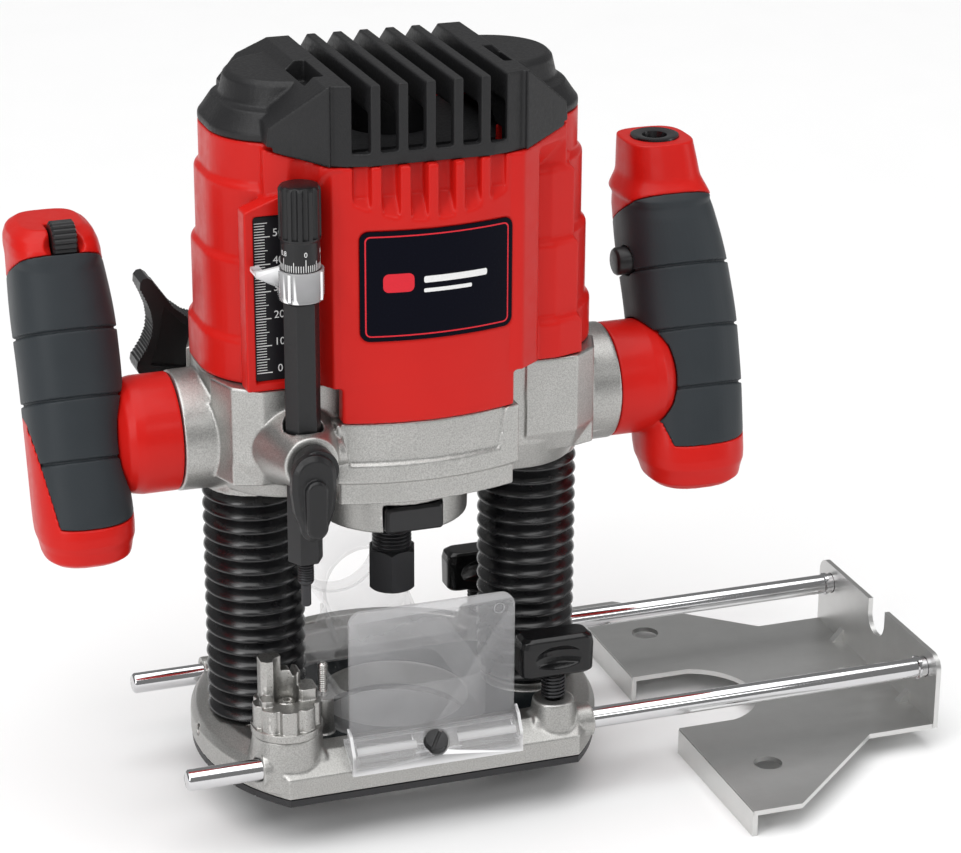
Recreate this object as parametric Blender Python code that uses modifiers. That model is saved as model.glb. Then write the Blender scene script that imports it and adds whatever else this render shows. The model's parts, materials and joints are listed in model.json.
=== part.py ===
"""Plunge router with its side fence fitted, in metres.

The machine is built round the spindle: the spindle is the Z axis, the sole stands on z = 0,
the side fence reaches out along +X and the chip guard is at the front, towards -Y.
The last step moves everything so that the origin is under the middle of the whole object,
at the height of the fence's lower edge, its lowest point.
"""

import math

import bmesh
import bpy
from mathutils import Matrix, Vector

GAP = 0.0003

SOLE_THICKNESS = 0.0026
BASE_RADIUS = 0.078
BASE_FRONT_Y = -0.0535
BASE_SLOPE_Y = -0.0440
BASE_OPENING_RADIUS = 0.0285
BASE_EDGE_Z = 0.011
BASE_RIM_Z = 0.0175
BASE_FLOOR_Z = 0.013
SOCKET_TOP_Z = 0.0165

COLUMN_X = 0.054
COLUMN_RADIUS = 0.010
COLUMN_TOP_Z = 0.190
SLEEVE_RADIUS = 0.0187
SLEEVE_BOTTOM_Z = 0.110
BELLOWS_RADIUS = 0.01875
BELLOWS_RINGS = 17

ROD_Y = 0.0425
ROD_Z = 0.012
ROD_RADIUS = 0.004
ROD_LEFT_X = -0.093
CLAMP_X = 0.050
CLAMP_BOSS_TOP_Z = 0.0235

TURRET_X = -0.053
TURRET_Y = -0.0375
TURRET_RADIUS = 0.0126
TURRET_BOSS_TOP_Z = 0.0243
TURRET_RING_TOP_Z = 0.0365
TURRET_POSTS = (
    # low and high corner from the turret's axis, then the height of the stop
    ((-0.0090, 0.0005), (-0.0008, 0.0090), 0.0520),
    ((-0.0012, 0.0012), (0.0062, 0.0092), 0.0460),
    ((0.0040, -0.0038), (0.0112, 0.0052), 0.0410),
)

DEPTH_ROD_X = -0.047
DEPTH_ROD_Y = -0.0455
DEPTH_ROD_FLATS = 0.0114
DEPTH_ROD_BOTTOM_Z = 0.095
DEPTH_TIP_Z = 0.077
DEPTH_PIN_RADIUS = 0.0030
DEPTH_BOSS_Z = 0.1355
DEPTH_CLAMP_Y = -0.0562

ARM_Z = 0.1325
ARM_RADIUS = 0.0222
ARM_END_X = 0.084

BRACKET_BOTTOM_Z = 0.113
BRACKET_TOP_Z = 0.1577
FRONT_SPLIT_Z = 0.1444
HOUSING_HALF_X = 0.0752
HOUSING_HALF_Y = 0.0370
HOUSING_CORNER = 0.0245
HOUSING_TOP_Z = 0.2455
FRONT_ARC_RADIUS = 0.098
FRONT_Y = 0.0508
FRONT_HALF_X = 0.0325
CAP_FRONT_BOTTOM_Z = 0.2395
CAP_TOP_Z = 0.268
TIER_STEPS_Z = (0.1730, 0.2020, 0.2290)
TIER_INSET = 0.0018
SLOT_PITCH = 0.010
SLOT_WIDTH = 0.0062
SLOT_COUNT = 6

LEVER_Z = 0.146
LEVER_LOW_Y = 0.0400
LEVER_HIGH_Y = 0.0520
LOCK_Z = 0.0976
DIAL_CENTRE = (-0.1190, 0.0095, 0.2060)
BUTTON_Z = 0.1755

NOSE_RADIUS = 0.029
NOSE_BOTTOM_Z = 0.092
SPINDLE_RADIUS = 0.0075
SPINDLE_BOTTOM_Z = 0.068
NUT_BOTTOM_Z = 0.0590
NUT_TOP_Z = 0.0755
NUT_FLATS = 0.0170
ROTOR_RADIUS = 0.0265

HANDLE_LEAN = 0.296
HANDLE_BOTTOM_Z = 0.091
GRIP_BOTTOM_Z = 0.106
GRIP_TOP_Z = 0.193
GRIP_THICKNESS = 0.0030
HANDLE_SPIGOT_RADIUS = 0.0085

SHEET = 0.002
FENCE_TOP_Z = -0.0085
FENCE_LEFT_X = 0.110
FENCE_FLANGE_X = 0.2065
FENCE_HALF_Y = 0.096
FENCE_FLANGE_HALF_Y = 0.053
FENCE_LIP_BOTTOM_Z = -0.0192
FENCE_FLANGE_TOP_Z = 0.020

FINISHES = {
    "cast_aluminium": ((0.56, 0.55, 0.52, 1.0), 0.45, 0.85),
    "red_plastic": ((0.60, 0.020, 0.012, 1.0), 0.35, 0.0),
    "black_plastic": ((0.022, 0.023, 0.026, 1.0), 0.50, 0.0),
    "grey_rubber": ((0.045, 0.050, 0.056, 1.0), 0.60, 0.0),
    "black_rubber": ((0.012, 0.012, 0.014, 1.0), 0.40, 0.0),
    "chrome_steel": ((0.75, 0.75, 0.76, 1.0), 0.12, 1.0),
    "zinc_sheet": ((0.55, 0.55, 0.54, 1.0), 0.35, 1.0),
    "turned_steel": ((0.55, 0.54, 0.52, 1.0), 0.30, 1.0),
    "black_steel": ((0.030, 0.030, 0.032, 1.0), 0.40, 0.7),
    "clear_plastic": ((0.90, 0.92, 0.92, 0.30), 0.10, 0.0),
    "navy_label": ((0.004, 0.005, 0.018, 1.0), 0.30, 0.0),
    "black_scale": ((0.015, 0.014, 0.016, 1.0), 0.50, 0.0),
    "laminated_steel": ((0.20, 0.20, 0.21, 1.0), 0.45, 0.9),
    "copper": ((0.62, 0.26, 0.12, 1.0), 0.30, 1.0),
    "bronze": ((0.50, 0.33, 0.14, 1.0), 0.35, 1.0),
}


def clear_scene():
    for obj in list(bpy.data.objects):
        bpy.data.objects.remove(obj, do_unlink=True)


def new_collection(name):
    collection = bpy.data.collections.new(name)
    bpy.context.scene.collection.children.link(collection)
    return collection


def principled(name, colour, roughness, metallic):
    material = bpy.data.materials.new(name)
    material.use_nodes = True
    shader = material.node_tree.nodes["Principled BSDF"]
    shader.inputs["Base Color"].default_value = colour
    shader.inputs["Roughness"].default_value = roughness
    shader.inputs["Metallic"].default_value = metallic
    shader.inputs["Alpha"].default_value = colour[3]
    material.diffuse_color = colour
    return material


clear_scene()
PARTS = new_collection("plunge_router")
CUTTERS = new_collection("cutters")
MATERIALS = {name: principled(name, *values) for name, values in FINISHES.items()}


def place(name, mesh, finish):
    """A part when it has a finish, and otherwise a hidden shape that cuts or joins one."""
    obj = bpy.data.objects.new(name, mesh)
    if finish is None:
        CUTTERS.objects.link(obj)
        obj.hide_render = True
        obj.display_type = "WIRE"
        return obj
    PARTS.objects.link(obj)
    mesh.materials.append(MATERIALS[finish])
    mesh.shade_smooth()
    mesh.set_sharp_from_angle(angle=math.radians(35))
    return obj


def mesh_from(bm, name):
    bmesh.ops.recalc_face_normals(bm, faces=bm.faces)
    mesh = bpy.data.meshes.new(name)
    bm.to_mesh(mesh)
    bm.free()
    return mesh


def box(name, low, high, finish=None):
    low, high = Vector(low), Vector(high)
    bm = bmesh.new()
    bmesh.ops.create_cube(bm, size=1.0)
    bmesh.ops.scale(bm, vec=high - low, verts=bm.verts)
    bmesh.ops.translate(bm, vec=(low + high) / 2, verts=bm.verts)
    return place(name, mesh_from(bm, name), finish)


def cylinder(name, start, end, radius, finish=None, end_radius=None, steps=20):
    """A cylinder or cone from one point to another."""
    start, end = Vector(start), Vector(end)
    along = end - start
    turn = Vector((0, 0, 1)).rotation_difference(along).to_matrix().to_4x4()
    bm = bmesh.new()
    bmesh.ops.create_cone(
        bm,
        cap_ends=True,
        segments=steps,
        radius1=radius,
        radius2=radius if end_radius is None else end_radius,
        depth=along.length,
        matrix=Matrix.Translation((start + end) / 2) @ turn,
    )
    return place(name, mesh_from(bm, name), finish)


def evaluated_mesh(obj):
    """The object's shape with its modifiers or its curve settings worked out, welded and facing out."""
    bpy.context.view_layer.update()
    graph = bpy.context.evaluated_depsgraph_get()
    mesh = bpy.data.meshes.new_from_object(obj.evaluated_get(graph))
    mesh.transform(obj.matrix_world)
    bm = bmesh.new()
    bm.from_mesh(mesh)
    bmesh.ops.remove_doubles(bm, verts=bm.verts, dist=1e-6)
    bmesh.ops.recalc_face_normals(bm, faces=bm.faces)
    bm.to_mesh(mesh)
    bm.free()
    return mesh


def settled(guide, name, finish):
    """Turns a guide object, a curve or a screwed profile, into a mesh object of the same shape."""
    bpy.context.scene.collection.objects.link(guide)
    mesh = evaluated_mesh(guide)
    bpy.data.objects.remove(guide)
    mesh.materials.clear()
    return place(name, mesh, finish)


def turned(name, profile, centre=(0, 0, 0), finish=None, steps=28, closed=False):
    """A shape turned about the vertical through centre, from (radius, height) points, top to bottom."""
    points = [(radius, 0, height) for radius, height in profile]
    edges = [(i, i + 1) for i in range(len(points) - 1)]
    if closed:
        edges.append((len(points) - 1, 0))
    mesh = bpy.data.meshes.new(name)
    mesh.from_pydata(points, edges, [])
    guide = bpy.data.objects.new(name + "_profile", mesh)
    guide.location = centre
    screw = guide.modifiers.new("turn", "SCREW")
    screw.steps = steps
    screw.render_steps = steps
    screw.use_merge_vertices = True
    screw.merge_threshold = 0.00001
    return settled(guide, name, finish)


def ring(name, centre, inner, outer, low, high, finish=None, steps=28):
    profile = [(outer, high), (outer, low), (inner, low), (inner, high)]
    return turned(name, profile, centre, finish, steps, closed=True)


AXIS_FRAMES = {
    "X": Matrix(((0, 0, 1), (1, 0, 0), (0, 1, 0))),
    "Y": Matrix(((1, 0, 0), (0, 0, -1), (0, 1, 0))),
    "Z": Matrix.Identity(3),
}


def prism(name, outline, low, high, axis="Z", holes=(), finish=None):
    """A flat outline drawn out along an axis from low to high; the outline uses the other two axes."""
    curve = bpy.data.curves.new(name, "CURVE")
    curve.dimensions = "2D"
    curve.fill_mode = "BOTH"
    curve.extrude = (high - low) / 2
    for loop in (outline, *holes):
        spline = curve.splines.new("POLY")
        spline.points.add(len(loop) - 1)
        for point, (u, v) in zip(spline.points, loop):
            point.co = (u, v, 0, 1)
        spline.use_cyclic_u = True
    guide = bpy.data.objects.new(name + "_outline", curve)
    middle = Vector([(low + high) / 2 if letter == axis else 0 for letter in "XYZ"])
    guide.matrix_world = Matrix.Translation(middle) @ AXIS_FRAMES[axis].to_4x4()
    return settled(guide, name, finish)


def loft(name, rings, finish=None):
    """A skin drawn over rings of points, with its two ends closed."""
    bm = bmesh.new()
    loops = [[bm.verts.new(point) for point in points] for points in rings]
    for lower, upper in zip(loops, loops[1:]):
        for i in range(len(lower)):
            j = (i + 1) % len(lower)
            bm.faces.new((lower[i], lower[j], upper[j], upper[i]))
    bm.faces.new(loops[0])
    bm.faces.new(loops[-1])
    return place(name, mesh_from(bm, name), finish)


def coil(name, centre, radius, low, high, turns, wire, finish, points_per_turn=12, sides=1):
    """A compression spring round the vertical through centre."""
    curve = bpy.data.curves.new(name, "CURVE")
    curve.dimensions = "3D"
    curve.bevel_depth = wire / 2
    curve.bevel_resolution = sides
    curve.use_fill_caps = True
    count = turns * points_per_turn
    spline = curve.splines.new("POLY")
    spline.points.add(count)
    for i, point in enumerate(spline.points):
        angle = 2 * math.pi * i / points_per_turn
        height = low + wire / 2 + (high - low - wire) * i / count
        point.co = (
            centre[0] + radius * math.cos(angle),
            centre[1] + radius * math.sin(angle),
            height,
            1,
        )
    return settled(bpy.data.objects.new(name + "_path", curve), name, finish)


def boolean(obj, other, operation):
    modifier = obj.modifiers.new(other.name, "BOOLEAN")
    modifier.operation = operation
    modifier.object = other
    modifier.solver = "EXACT"


def cut(obj, *others):
    for other in others:
        boolean(obj, other, "DIFFERENCE")


def join(obj, *others):
    for other in others:
        boolean(obj, other, "UNION")


def arc(centre, radius, start, end, steps):
    """Points on an arc, with its angles in degrees from +U."""
    points = []
    for i in range(steps + 1):
        angle = math.radians(start + (end - start) * i / steps)
        points.append((centre[0] + radius * math.cos(angle), centre[1] + radius * math.sin(angle)))
    return points


def rounded_rectangle(half_u, half_v, radius, steps=5, centre=(0, 0)):
    points = []
    for side_u, side_v, start in ((1, 1, 0), (-1, 1, 90), (-1, -1, 180), (1, -1, 270)):
        corner = (
            centre[0] + side_u * (half_u - radius),
            centre[1] + side_v * (half_v - radius),
        )
        points += arc(corner, radius, start, start + 90, steps)
    return points


def polygon(centre, radius, count, start=0.0):
    """A regular polygon's corners."""
    return arc(centre, radius, start, start + 360 * (count - 1) / count, count - 1)


def at_height(points, z):
    return [(x, y, z) for x, y in points]


def both_sides():
    return (("left", -1), ("right", 1))


# ---------------------------------------------------------------- base


def base_casting():
    """Round base with a straight front edge, bars round both guide rods, and bosses on top."""
    bottom = SOLE_THICKNESS + GAP
    profile = [
        (0, BASE_FLOOR_Z),
        (BASE_RADIUS - 0.0145, BASE_FLOOR_Z),
        (BASE_RADIUS - 0.0125, BASE_RIM_Z),
        (BASE_RADIUS - 0.0075, BASE_RIM_Z),
        (BASE_RADIUS - 0.0020, BASE_RIM_Z - 0.0030),
        (BASE_RADIUS, BASE_EDGE_Z),
        (BASE_RADIUS, bottom),
        (0, bottom),
    ]
    base = turned("base_casting", profile, finish="cast_aluminium", steps=48)
    bar_x = 0.0570
    low_z, high_z = bottom + 0.001, BASE_RIM_Z - 0.0001
    join(
        base,
        box("front_bar", (-bar_x, BASE_FRONT_Y - 0.002, low_z), (bar_x, -0.0360, high_z)),
        box("rear_bar", (-bar_x, 0.0365, low_z), (bar_x, 0.0490, high_z)),
    )
    rise = (BASE_RIM_Z - BASE_EDGE_Z) / (BASE_SLOPE_Y - BASE_FRONT_Y)
    slope = [
        (BASE_FRONT_Y - 0.010, BASE_EDGE_Z - 0.010 * rise),
        (BASE_SLOPE_Y + 0.003, BASE_RIM_Z + 0.003 * rise),
        (BASE_SLOPE_Y + 0.003, 0.040),
        (BASE_FRONT_Y - 0.010, 0.040),
    ]
    front_waste = box("front_waste", (-0.09, -0.09, -0.01), (0.09, BASE_FRONT_Y, 0.05))
    cut(base, prism("slope_waste", slope, -0.065, 0.065, axis="X"), front_waste)
    for name, side in both_sides():
        centre = (side * COLUMN_X, 0)
        socket = cylinder(f"socket_{name}", (*centre, bottom + 0.002), (*centre, 0.0170), 0.0165)
        join(base, socket)
    turret_boss = cylinder(
        "turret_boss",
        (TURRET_X, TURRET_Y, bottom + 0.002),
        (TURRET_X, TURRET_Y, TURRET_BOSS_TOP_Z),
        0.0150,
        end_radius=0.0128,
    )
    hood_post = cylinder("hood_post", (-0.0345, -0.0220, 0.010), (-0.0345, -0.0220, 0.0277), 0.0042)
    join(base, turret_boss, hood_post)
    for name, side in (("front", -1), ("rear", 1)):
        centre = (CLAMP_X, side * ROD_Y)
        boss = cylinder(
            f"clamp_boss_{name}",
            (*centre, 0.010),
            (*centre, CLAMP_BOSS_TOP_Z),
            0.0098,
            end_radius=0.0078,
        )
        join(base, boss)
    cut(base, cylinder("base_opening", (0, 0, -0.01), (0, 0, 0.03), BASE_OPENING_RADIUS, steps=40))
    for name, side in (("front", -1), ("rear", 1)):
        rod_bore = cylinder(
            f"rod_bore_{name}",
            (-0.1, side * ROD_Y, ROD_Z),
            (0.1, side * ROD_Y, ROD_Z),
            ROD_RADIUS + GAP,
            steps=24,
        )
        screw_bore = cylinder(
            f"clamp_bore_{name}",
            (CLAMP_X, side * ROD_Y, ROD_Z + 0.0035),
            (CLAMP_X, side * ROD_Y, 0.03),
            0.0030,
            steps=16,
        )
        cut(base, rod_bore, screw_bore)
    for name, side in both_sides():
        centre = (side * COLUMN_X, 0)
        cut(
            base,
            cylinder(f"column_seat_{name}", (*centre, 0.0045), (*centre, 0.03), COLUMN_RADIUS + GAP),
            cylinder(f"bellows_seat_{name}", (*centre, SOCKET_TOP_Z), (*centre, 0.03), 0.0194),
        )
    cut(
        base,
        cylinder("side_hole", (-0.08, 0, 0.010), (-0.068, 0, 0.010), 0.0022, steps=16),
        cylinder(
            "turret_bore",
            (TURRET_X, TURRET_Y, 0.0185),
            (TURRET_X, TURRET_Y, 0.03),
            0.0024,
            steps=16,
        ),
        cylinder("hood_bore", (-0.0345, -0.022, 0.0175), (-0.0345, -0.022, 0.03), 0.0020, steps=12),
        cylinder("guard_bore", guard_point(-0.0014), guard_point(0.002), 0.0020, steps=12),
    )
    for i, (x, y) in enumerate(sole_screw_places(), 1):
        cut(base, cylinder(f"sole_bore_{i}", (x, y, 0.0), (x, y, 0.0085), 0.0019, steps=12))


def guard_point(height):
    """A point on the line of the guard's screw, height above the base's sloped front edge."""
    slope = math.atan2(BASE_RIM_Z - BASE_EDGE_Z, BASE_SLOPE_Y - BASE_FRONT_Y)
    middle_y = BASE_FRONT_Y + 0.4 * (BASE_SLOPE_Y - BASE_FRONT_Y)
    middle_z = BASE_EDGE_Z + 0.4 * (BASE_RIM_Z - BASE_EDGE_Z)
    return (0, middle_y - height * math.sin(slope), middle_z + height * math.cos(slope))


def sole_screw_places():
    return [(x, y) for x in (-0.028, 0.028) for y in (-0.0300, 0.0300)]


def sole_plate():
    edge = math.degrees(math.asin(-BASE_FRONT_Y / BASE_RADIUS))
    outline = arc((0, 0), BASE_RADIUS - 0.0004, -edge, 180 + edge, 40)
    opening = polygon((0, 0), BASE_OPENING_RADIUS + 0.0015, 32)
    sole = prism("sole_plate", outline, 0, SOLE_THICKNESS, holes=[opening], finish="black_plastic")
    for i, (x, y) in enumerate(sole_screw_places(), 1):
        sink = turned(
            f"sole_sink_{i}",
            [
                (0, 0.004),
                (0.0019, 0.004),
                (0.0019, 0.0022),
                (0.0042, -0.0002),
                (0.0042, -0.001),
                (0, -0.001),
            ],
            (x, y, 0),
            steps=12,
        )
        cut(sole, sink)
        turned(
            f"sole_screw_{i}",
            [(0, 0.0080), (0.0016, 0.0080), (0.0016, 0.0022), (0.0036, 0.0003), (0, 0.0003)],
            (x, y, 0),
            finish="turned_steel",
            steps=12,
        )


def columns():
    for name, side in both_sides():
        profile = [
            (0, COLUMN_TOP_Z),
            (COLUMN_RADIUS - 0.0012, COLUMN_TOP_Z),
            (COLUMN_RADIUS, COLUMN_TOP_Z - 0.0012),
            (COLUMN_RADIUS, 0.0048),
            (0, 0.0048),
        ]
        turned(f"column_{name}", profile, (side * COLUMN_X, 0, 0), finish="chrome_steel", steps=24)


def bellows():
    """Ribbed rubber sleeves round the columns, each ring rounded outside and straight inside."""
    low, high = SOCKET_TOP_Z + GAP, SLEEVE_BOTTOM_Z - GAP
    pitch = (high - low) / BELLOWS_RINGS
    outer = []
    for i in range(BELLOWS_RINGS):
        top = high - i * pitch
        outer.append((BELLOWS_RADIUS - 0.0026, top))
        outer.append((BELLOWS_RADIUS, top - pitch / 2))
    outer.append((BELLOWS_RADIUS - 0.0026, low))
    profile = outer + [(0.0147, low), (0.0147, high)]
    for name, side in both_sides():
        turned(
            f"bellows_{name}",
            profile,
            (side * COLUMN_X, 0, 0),
            finish="black_rubber",
            steps=12,
            closed=True,
        )
        coil(
            f"return_spring_{name}",
            (side * COLUMN_X, 0),
            0.0124,
            low,
            high,
            6,
            0.0018,
            "turned_steel",
            points_per_turn=8,
            sides=0,
        )


def dust_hood():
    """Clear collar round the cutter opening with a round spigot to the rear."""
    wall = 0.0018
    half_x, front_y, rear_y = 0.0298, -0.0300, 0.0358
    bottom, top = BASE_FLOOR_Z + GAP, 0.0300
    middle_y = (front_y + rear_y) / 2
    half_y = (rear_y - front_y) / 2
    hood = prism(
        "dust_hood",
        rounded_rectangle(half_x, half_y, 0.008, 4, (0, middle_y)),
        bottom,
        top,
        holes=[rounded_rectangle(half_x - wall, half_y - wall, 0.0065, 4, (0, middle_y))],
        finish="clear_plastic",
    )
    spigot_z, spigot_radius = 0.0435, 0.0180
    back = arc((0, spigot_z), spigot_radius, -20, 200, 22)
    back = [(half_x - 0.007, bottom), (half_x - 0.007, top - 0.004)] + back
    back = back + [(-half_x + 0.007, top - 0.004), (-half_x + 0.007, bottom)]
    join(hood, prism("hood_back", back, rear_y - wall, rear_y, axis="Y"))
    for name, side in both_sides():
        web = [(0.0050, top - 0.002), (rear_y - 0.0005, 0.0385), (rear_y - 0.0005, top - 0.002)]
        x = side * 0.0175
        join(hood, prism(f"hood_web_{name}", web, x - wall / 2, x + wall / 2, axis="X"))
    bridge = box(
        "hood_bridge",
        (-half_x + 0.001, rear_y - 0.0300, top - wall),
        (half_x - 0.001, rear_y - 0.001, top),
    )
    join(hood, bridge)
    tube = cylinder("hood_tube", (0, rear_y - wall, spigot_z), (0, 0.0780, spigot_z), spigot_radius)
    collar = cylinder("hood_collar", (0, 0.0735, spigot_z), (0, 0.0762, spigot_z), spigot_radius + 0.0012)
    lug = box("hood_lug", (-0.0395, -0.0265, top - 0.002), (-half_x + 0.001, -0.0175, top))
    join(hood, tube, collar, lug)
    mouth = cylinder("hood_mouth", (0, 0.0100, spigot_z), (0, 0.0800, spigot_z), spigot_radius - wall)
    throat = cylinder("hood_throat", (0, 0, 0), (0, 0, 0.06), 0.0225, steps=32)
    lug_hole = cylinder("lug_hole", (-0.0345, -0.0220, 0.02), (-0.0345, -0.0220, 0.04), 0.0020, steps=12)
    cut(hood, mouth, throat, lug_hole)
    turned(
        "hood_screw",
        [(0, 0.0418), (0.0010, 0.0415), (0.0017, 0.0405), (0.0017, 0.0182), (0, 0.0182)],
        (-0.0345, -0.0220, 0),
        finish="turned_steel",
        steps=16,
    )


def chip_guard():
    """Clear screen in front of the cutter, with a clip that lies along the base's sloped edge."""
    half_x, screen_y, thickness = 0.0320, -0.0478, 0.0018
    screen_top = 0.0722
    corner = 0.005
    outline = [(half_x, 0.0200)]
    outline += arc((half_x - corner, screen_top - corner), corner, 0, 90, 6)
    outline += arc((-half_x + corner, screen_top - corner), corner, 90, 180, 6)
    outline += [(-half_x, 0.0200)]
    guard = prism(
        "chip_guard",
        outline,
        screen_y - thickness / 2,
        screen_y + thickness / 2,
        axis="Y",
        finish="clear_plastic",
    )
    clip = [
        (BASE_SLOPE_Y, BASE_RIM_Z + 0.0004),
        (BASE_SLOPE_Y, BASE_RIM_Z + 0.0024),
        (-0.0500, 0.0215),
        (-0.0556, 0.0160),
        (-0.0560, 0.0100),
        (-0.0539, 0.0100),
        (-0.0539, BASE_EDGE_Z + 0.0001),
    ]
    clip_x = half_x + 0.0012
    join(guard, prism("guard_clip", clip, -clip_x, clip_x, axis="X"))
    pocket = [(-0.0505, 0.0190), (-0.0505, 0.0260), (-0.0570, 0.0200), (-0.0570, 0.0145), (-0.0551, 0.0145)]
    for name, side in both_sides():
        low, high = sorted((side * 0.0090, side * 0.0300))
        cut(guard, prism(f"guard_pocket_{name}", pocket, low, high, axis="X"))
        barrel = cylinder(
            f"guard_barrel_{name}",
            (low - 0.001, -0.0527, 0.0178),
            (high + 0.001, -0.0527, 0.0178),
            0.0019,
            steps=16,
        )
        join(guard, barrel)
    cut(guard, cylinder("guard_screw_hole", guard_point(-0.004), guard_point(0.0130), 0.0020, steps=16))
    seat = cylinder("guard_screw_seat", guard_point(0.0034), guard_point(0.0200), 0.0052, steps=20)
    cut(guard, seat)
    screw = cylinder(
        "guard_screw",
        guard_point(-0.0011),
        guard_point(0.0040),
        0.0016,
        "black_plastic",
        steps=12,
    )
    head = cylinder("guard_screw_head", guard_point(0.0037), guard_point(0.0068), 0.0046, steps=20)
    join(screw, head)
    cut(screw, box("guard_screw_slot", (-0.0006, -0.07, 0.0215), (0.0006, -0.02, 0.03)))


# ---------------------------------------------------------------- turret and rod clamps


def turret():
    """Stepped depth-stop turret: a scalloped ring with three posts of different heights."""
    steps = 48
    outline = []
    for i in range(steps):
        angle = 2 * math.pi * i / steps
        radius = TURRET_RADIUS - (0.0007 if i % 4 == 0 else 0)
        outline.append((TURRET_X + radius * math.cos(angle), TURRET_Y + radius * math.sin(angle)))
    low = TURRET_BOSS_TOP_Z + GAP
    centre = (TURRET_X, TURRET_Y)
    body = prism("turret", outline, low + 0.002, TURRET_RING_TOP_Z, finish="turned_steel")
    join(body, cylinder("turret_skirt", (*centre, low), (*centre, low + 0.0026), 0.0134))
    for i, (near, far, height) in enumerate(TURRET_POSTS):
        post = box(
            f"turret_post_{i}",
            (TURRET_X + near[0], TURRET_Y + near[1], TURRET_RING_TOP_Z - 0.004),
            (TURRET_X + far[0], TURRET_Y + far[1], height),
        )
        join(body, post)
    cut(
        body,
        cylinder("turret_screw_hole", (*centre, 0.02), (*centre, 0.06), 0.0025, steps=16),
        cylinder(
            "turret_counterbore",
            (*centre, TURRET_RING_TOP_Z - 0.003),
            (*centre, 0.06),
            0.0046,
            steps=20,
        ),
    )
    ring_floor = TURRET_RING_TOP_Z - 0.003
    turned(
        "turret_screw",
        [
            (0, ring_floor + 0.0028),
            (0.0030, ring_floor + 0.0028),
            (0.0040, ring_floor + 0.0018),
            (0.0040, ring_floor + GAP),
            (0.0019, ring_floor + GAP),
            (0.0019, 0.0190),
            (0, 0.0190),
        ],
        (TURRET_X, TURRET_Y, 0),
        finish="turned_steel",
        steps=20,
    )


def clamp_knobs():
    """Black bar knobs that press on the guide rods, each over a small spring."""
    half_x, half_y, corner = 0.0146, 0.0062, 0.0030
    low, high = 0.0345, 0.0505
    for name, side in (("front", -1), ("rear", 1)):
        x, y = CLAMP_X, side * ROD_Y
        knob = prism(
            f"clamp_knob_{name}",
            rounded_rectangle(half_x, half_y, corner, 3, (x, y)),
            low,
            high,
            finish="black_plastic",
        )
        for face, direction in (("outer", -1), ("inner", 1)):
            scoop = cylinder(
                f"clamp_scoop_{name}_{face}",
                (x, y + direction * (half_y + 0.0085), low - 0.002),
                (x, y + direction * (half_y + 0.0085), high - 0.0035),
                0.0110,
                steps=24,
            )
            cut(knob, scoop)
        screw = cylinder(
            f"clamp_screw_{name}",
            (x, y, ROD_Z + ROD_RADIUS + GAP),
            (x, y, low + 0.004),
            0.0025,
            steps=16,
        )
        join(knob, screw)
        coil(
            f"clamp_spring_{name}",
            (x, y),
            0.0042,
            CLAMP_BOSS_TOP_Z + GAP,
            low - GAP,
            5,
            0.0010,
            "black_steel",
            points_per_turn=8,
            sides=0,
        )


# ---------------------------------------------------------------- side fence


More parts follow.
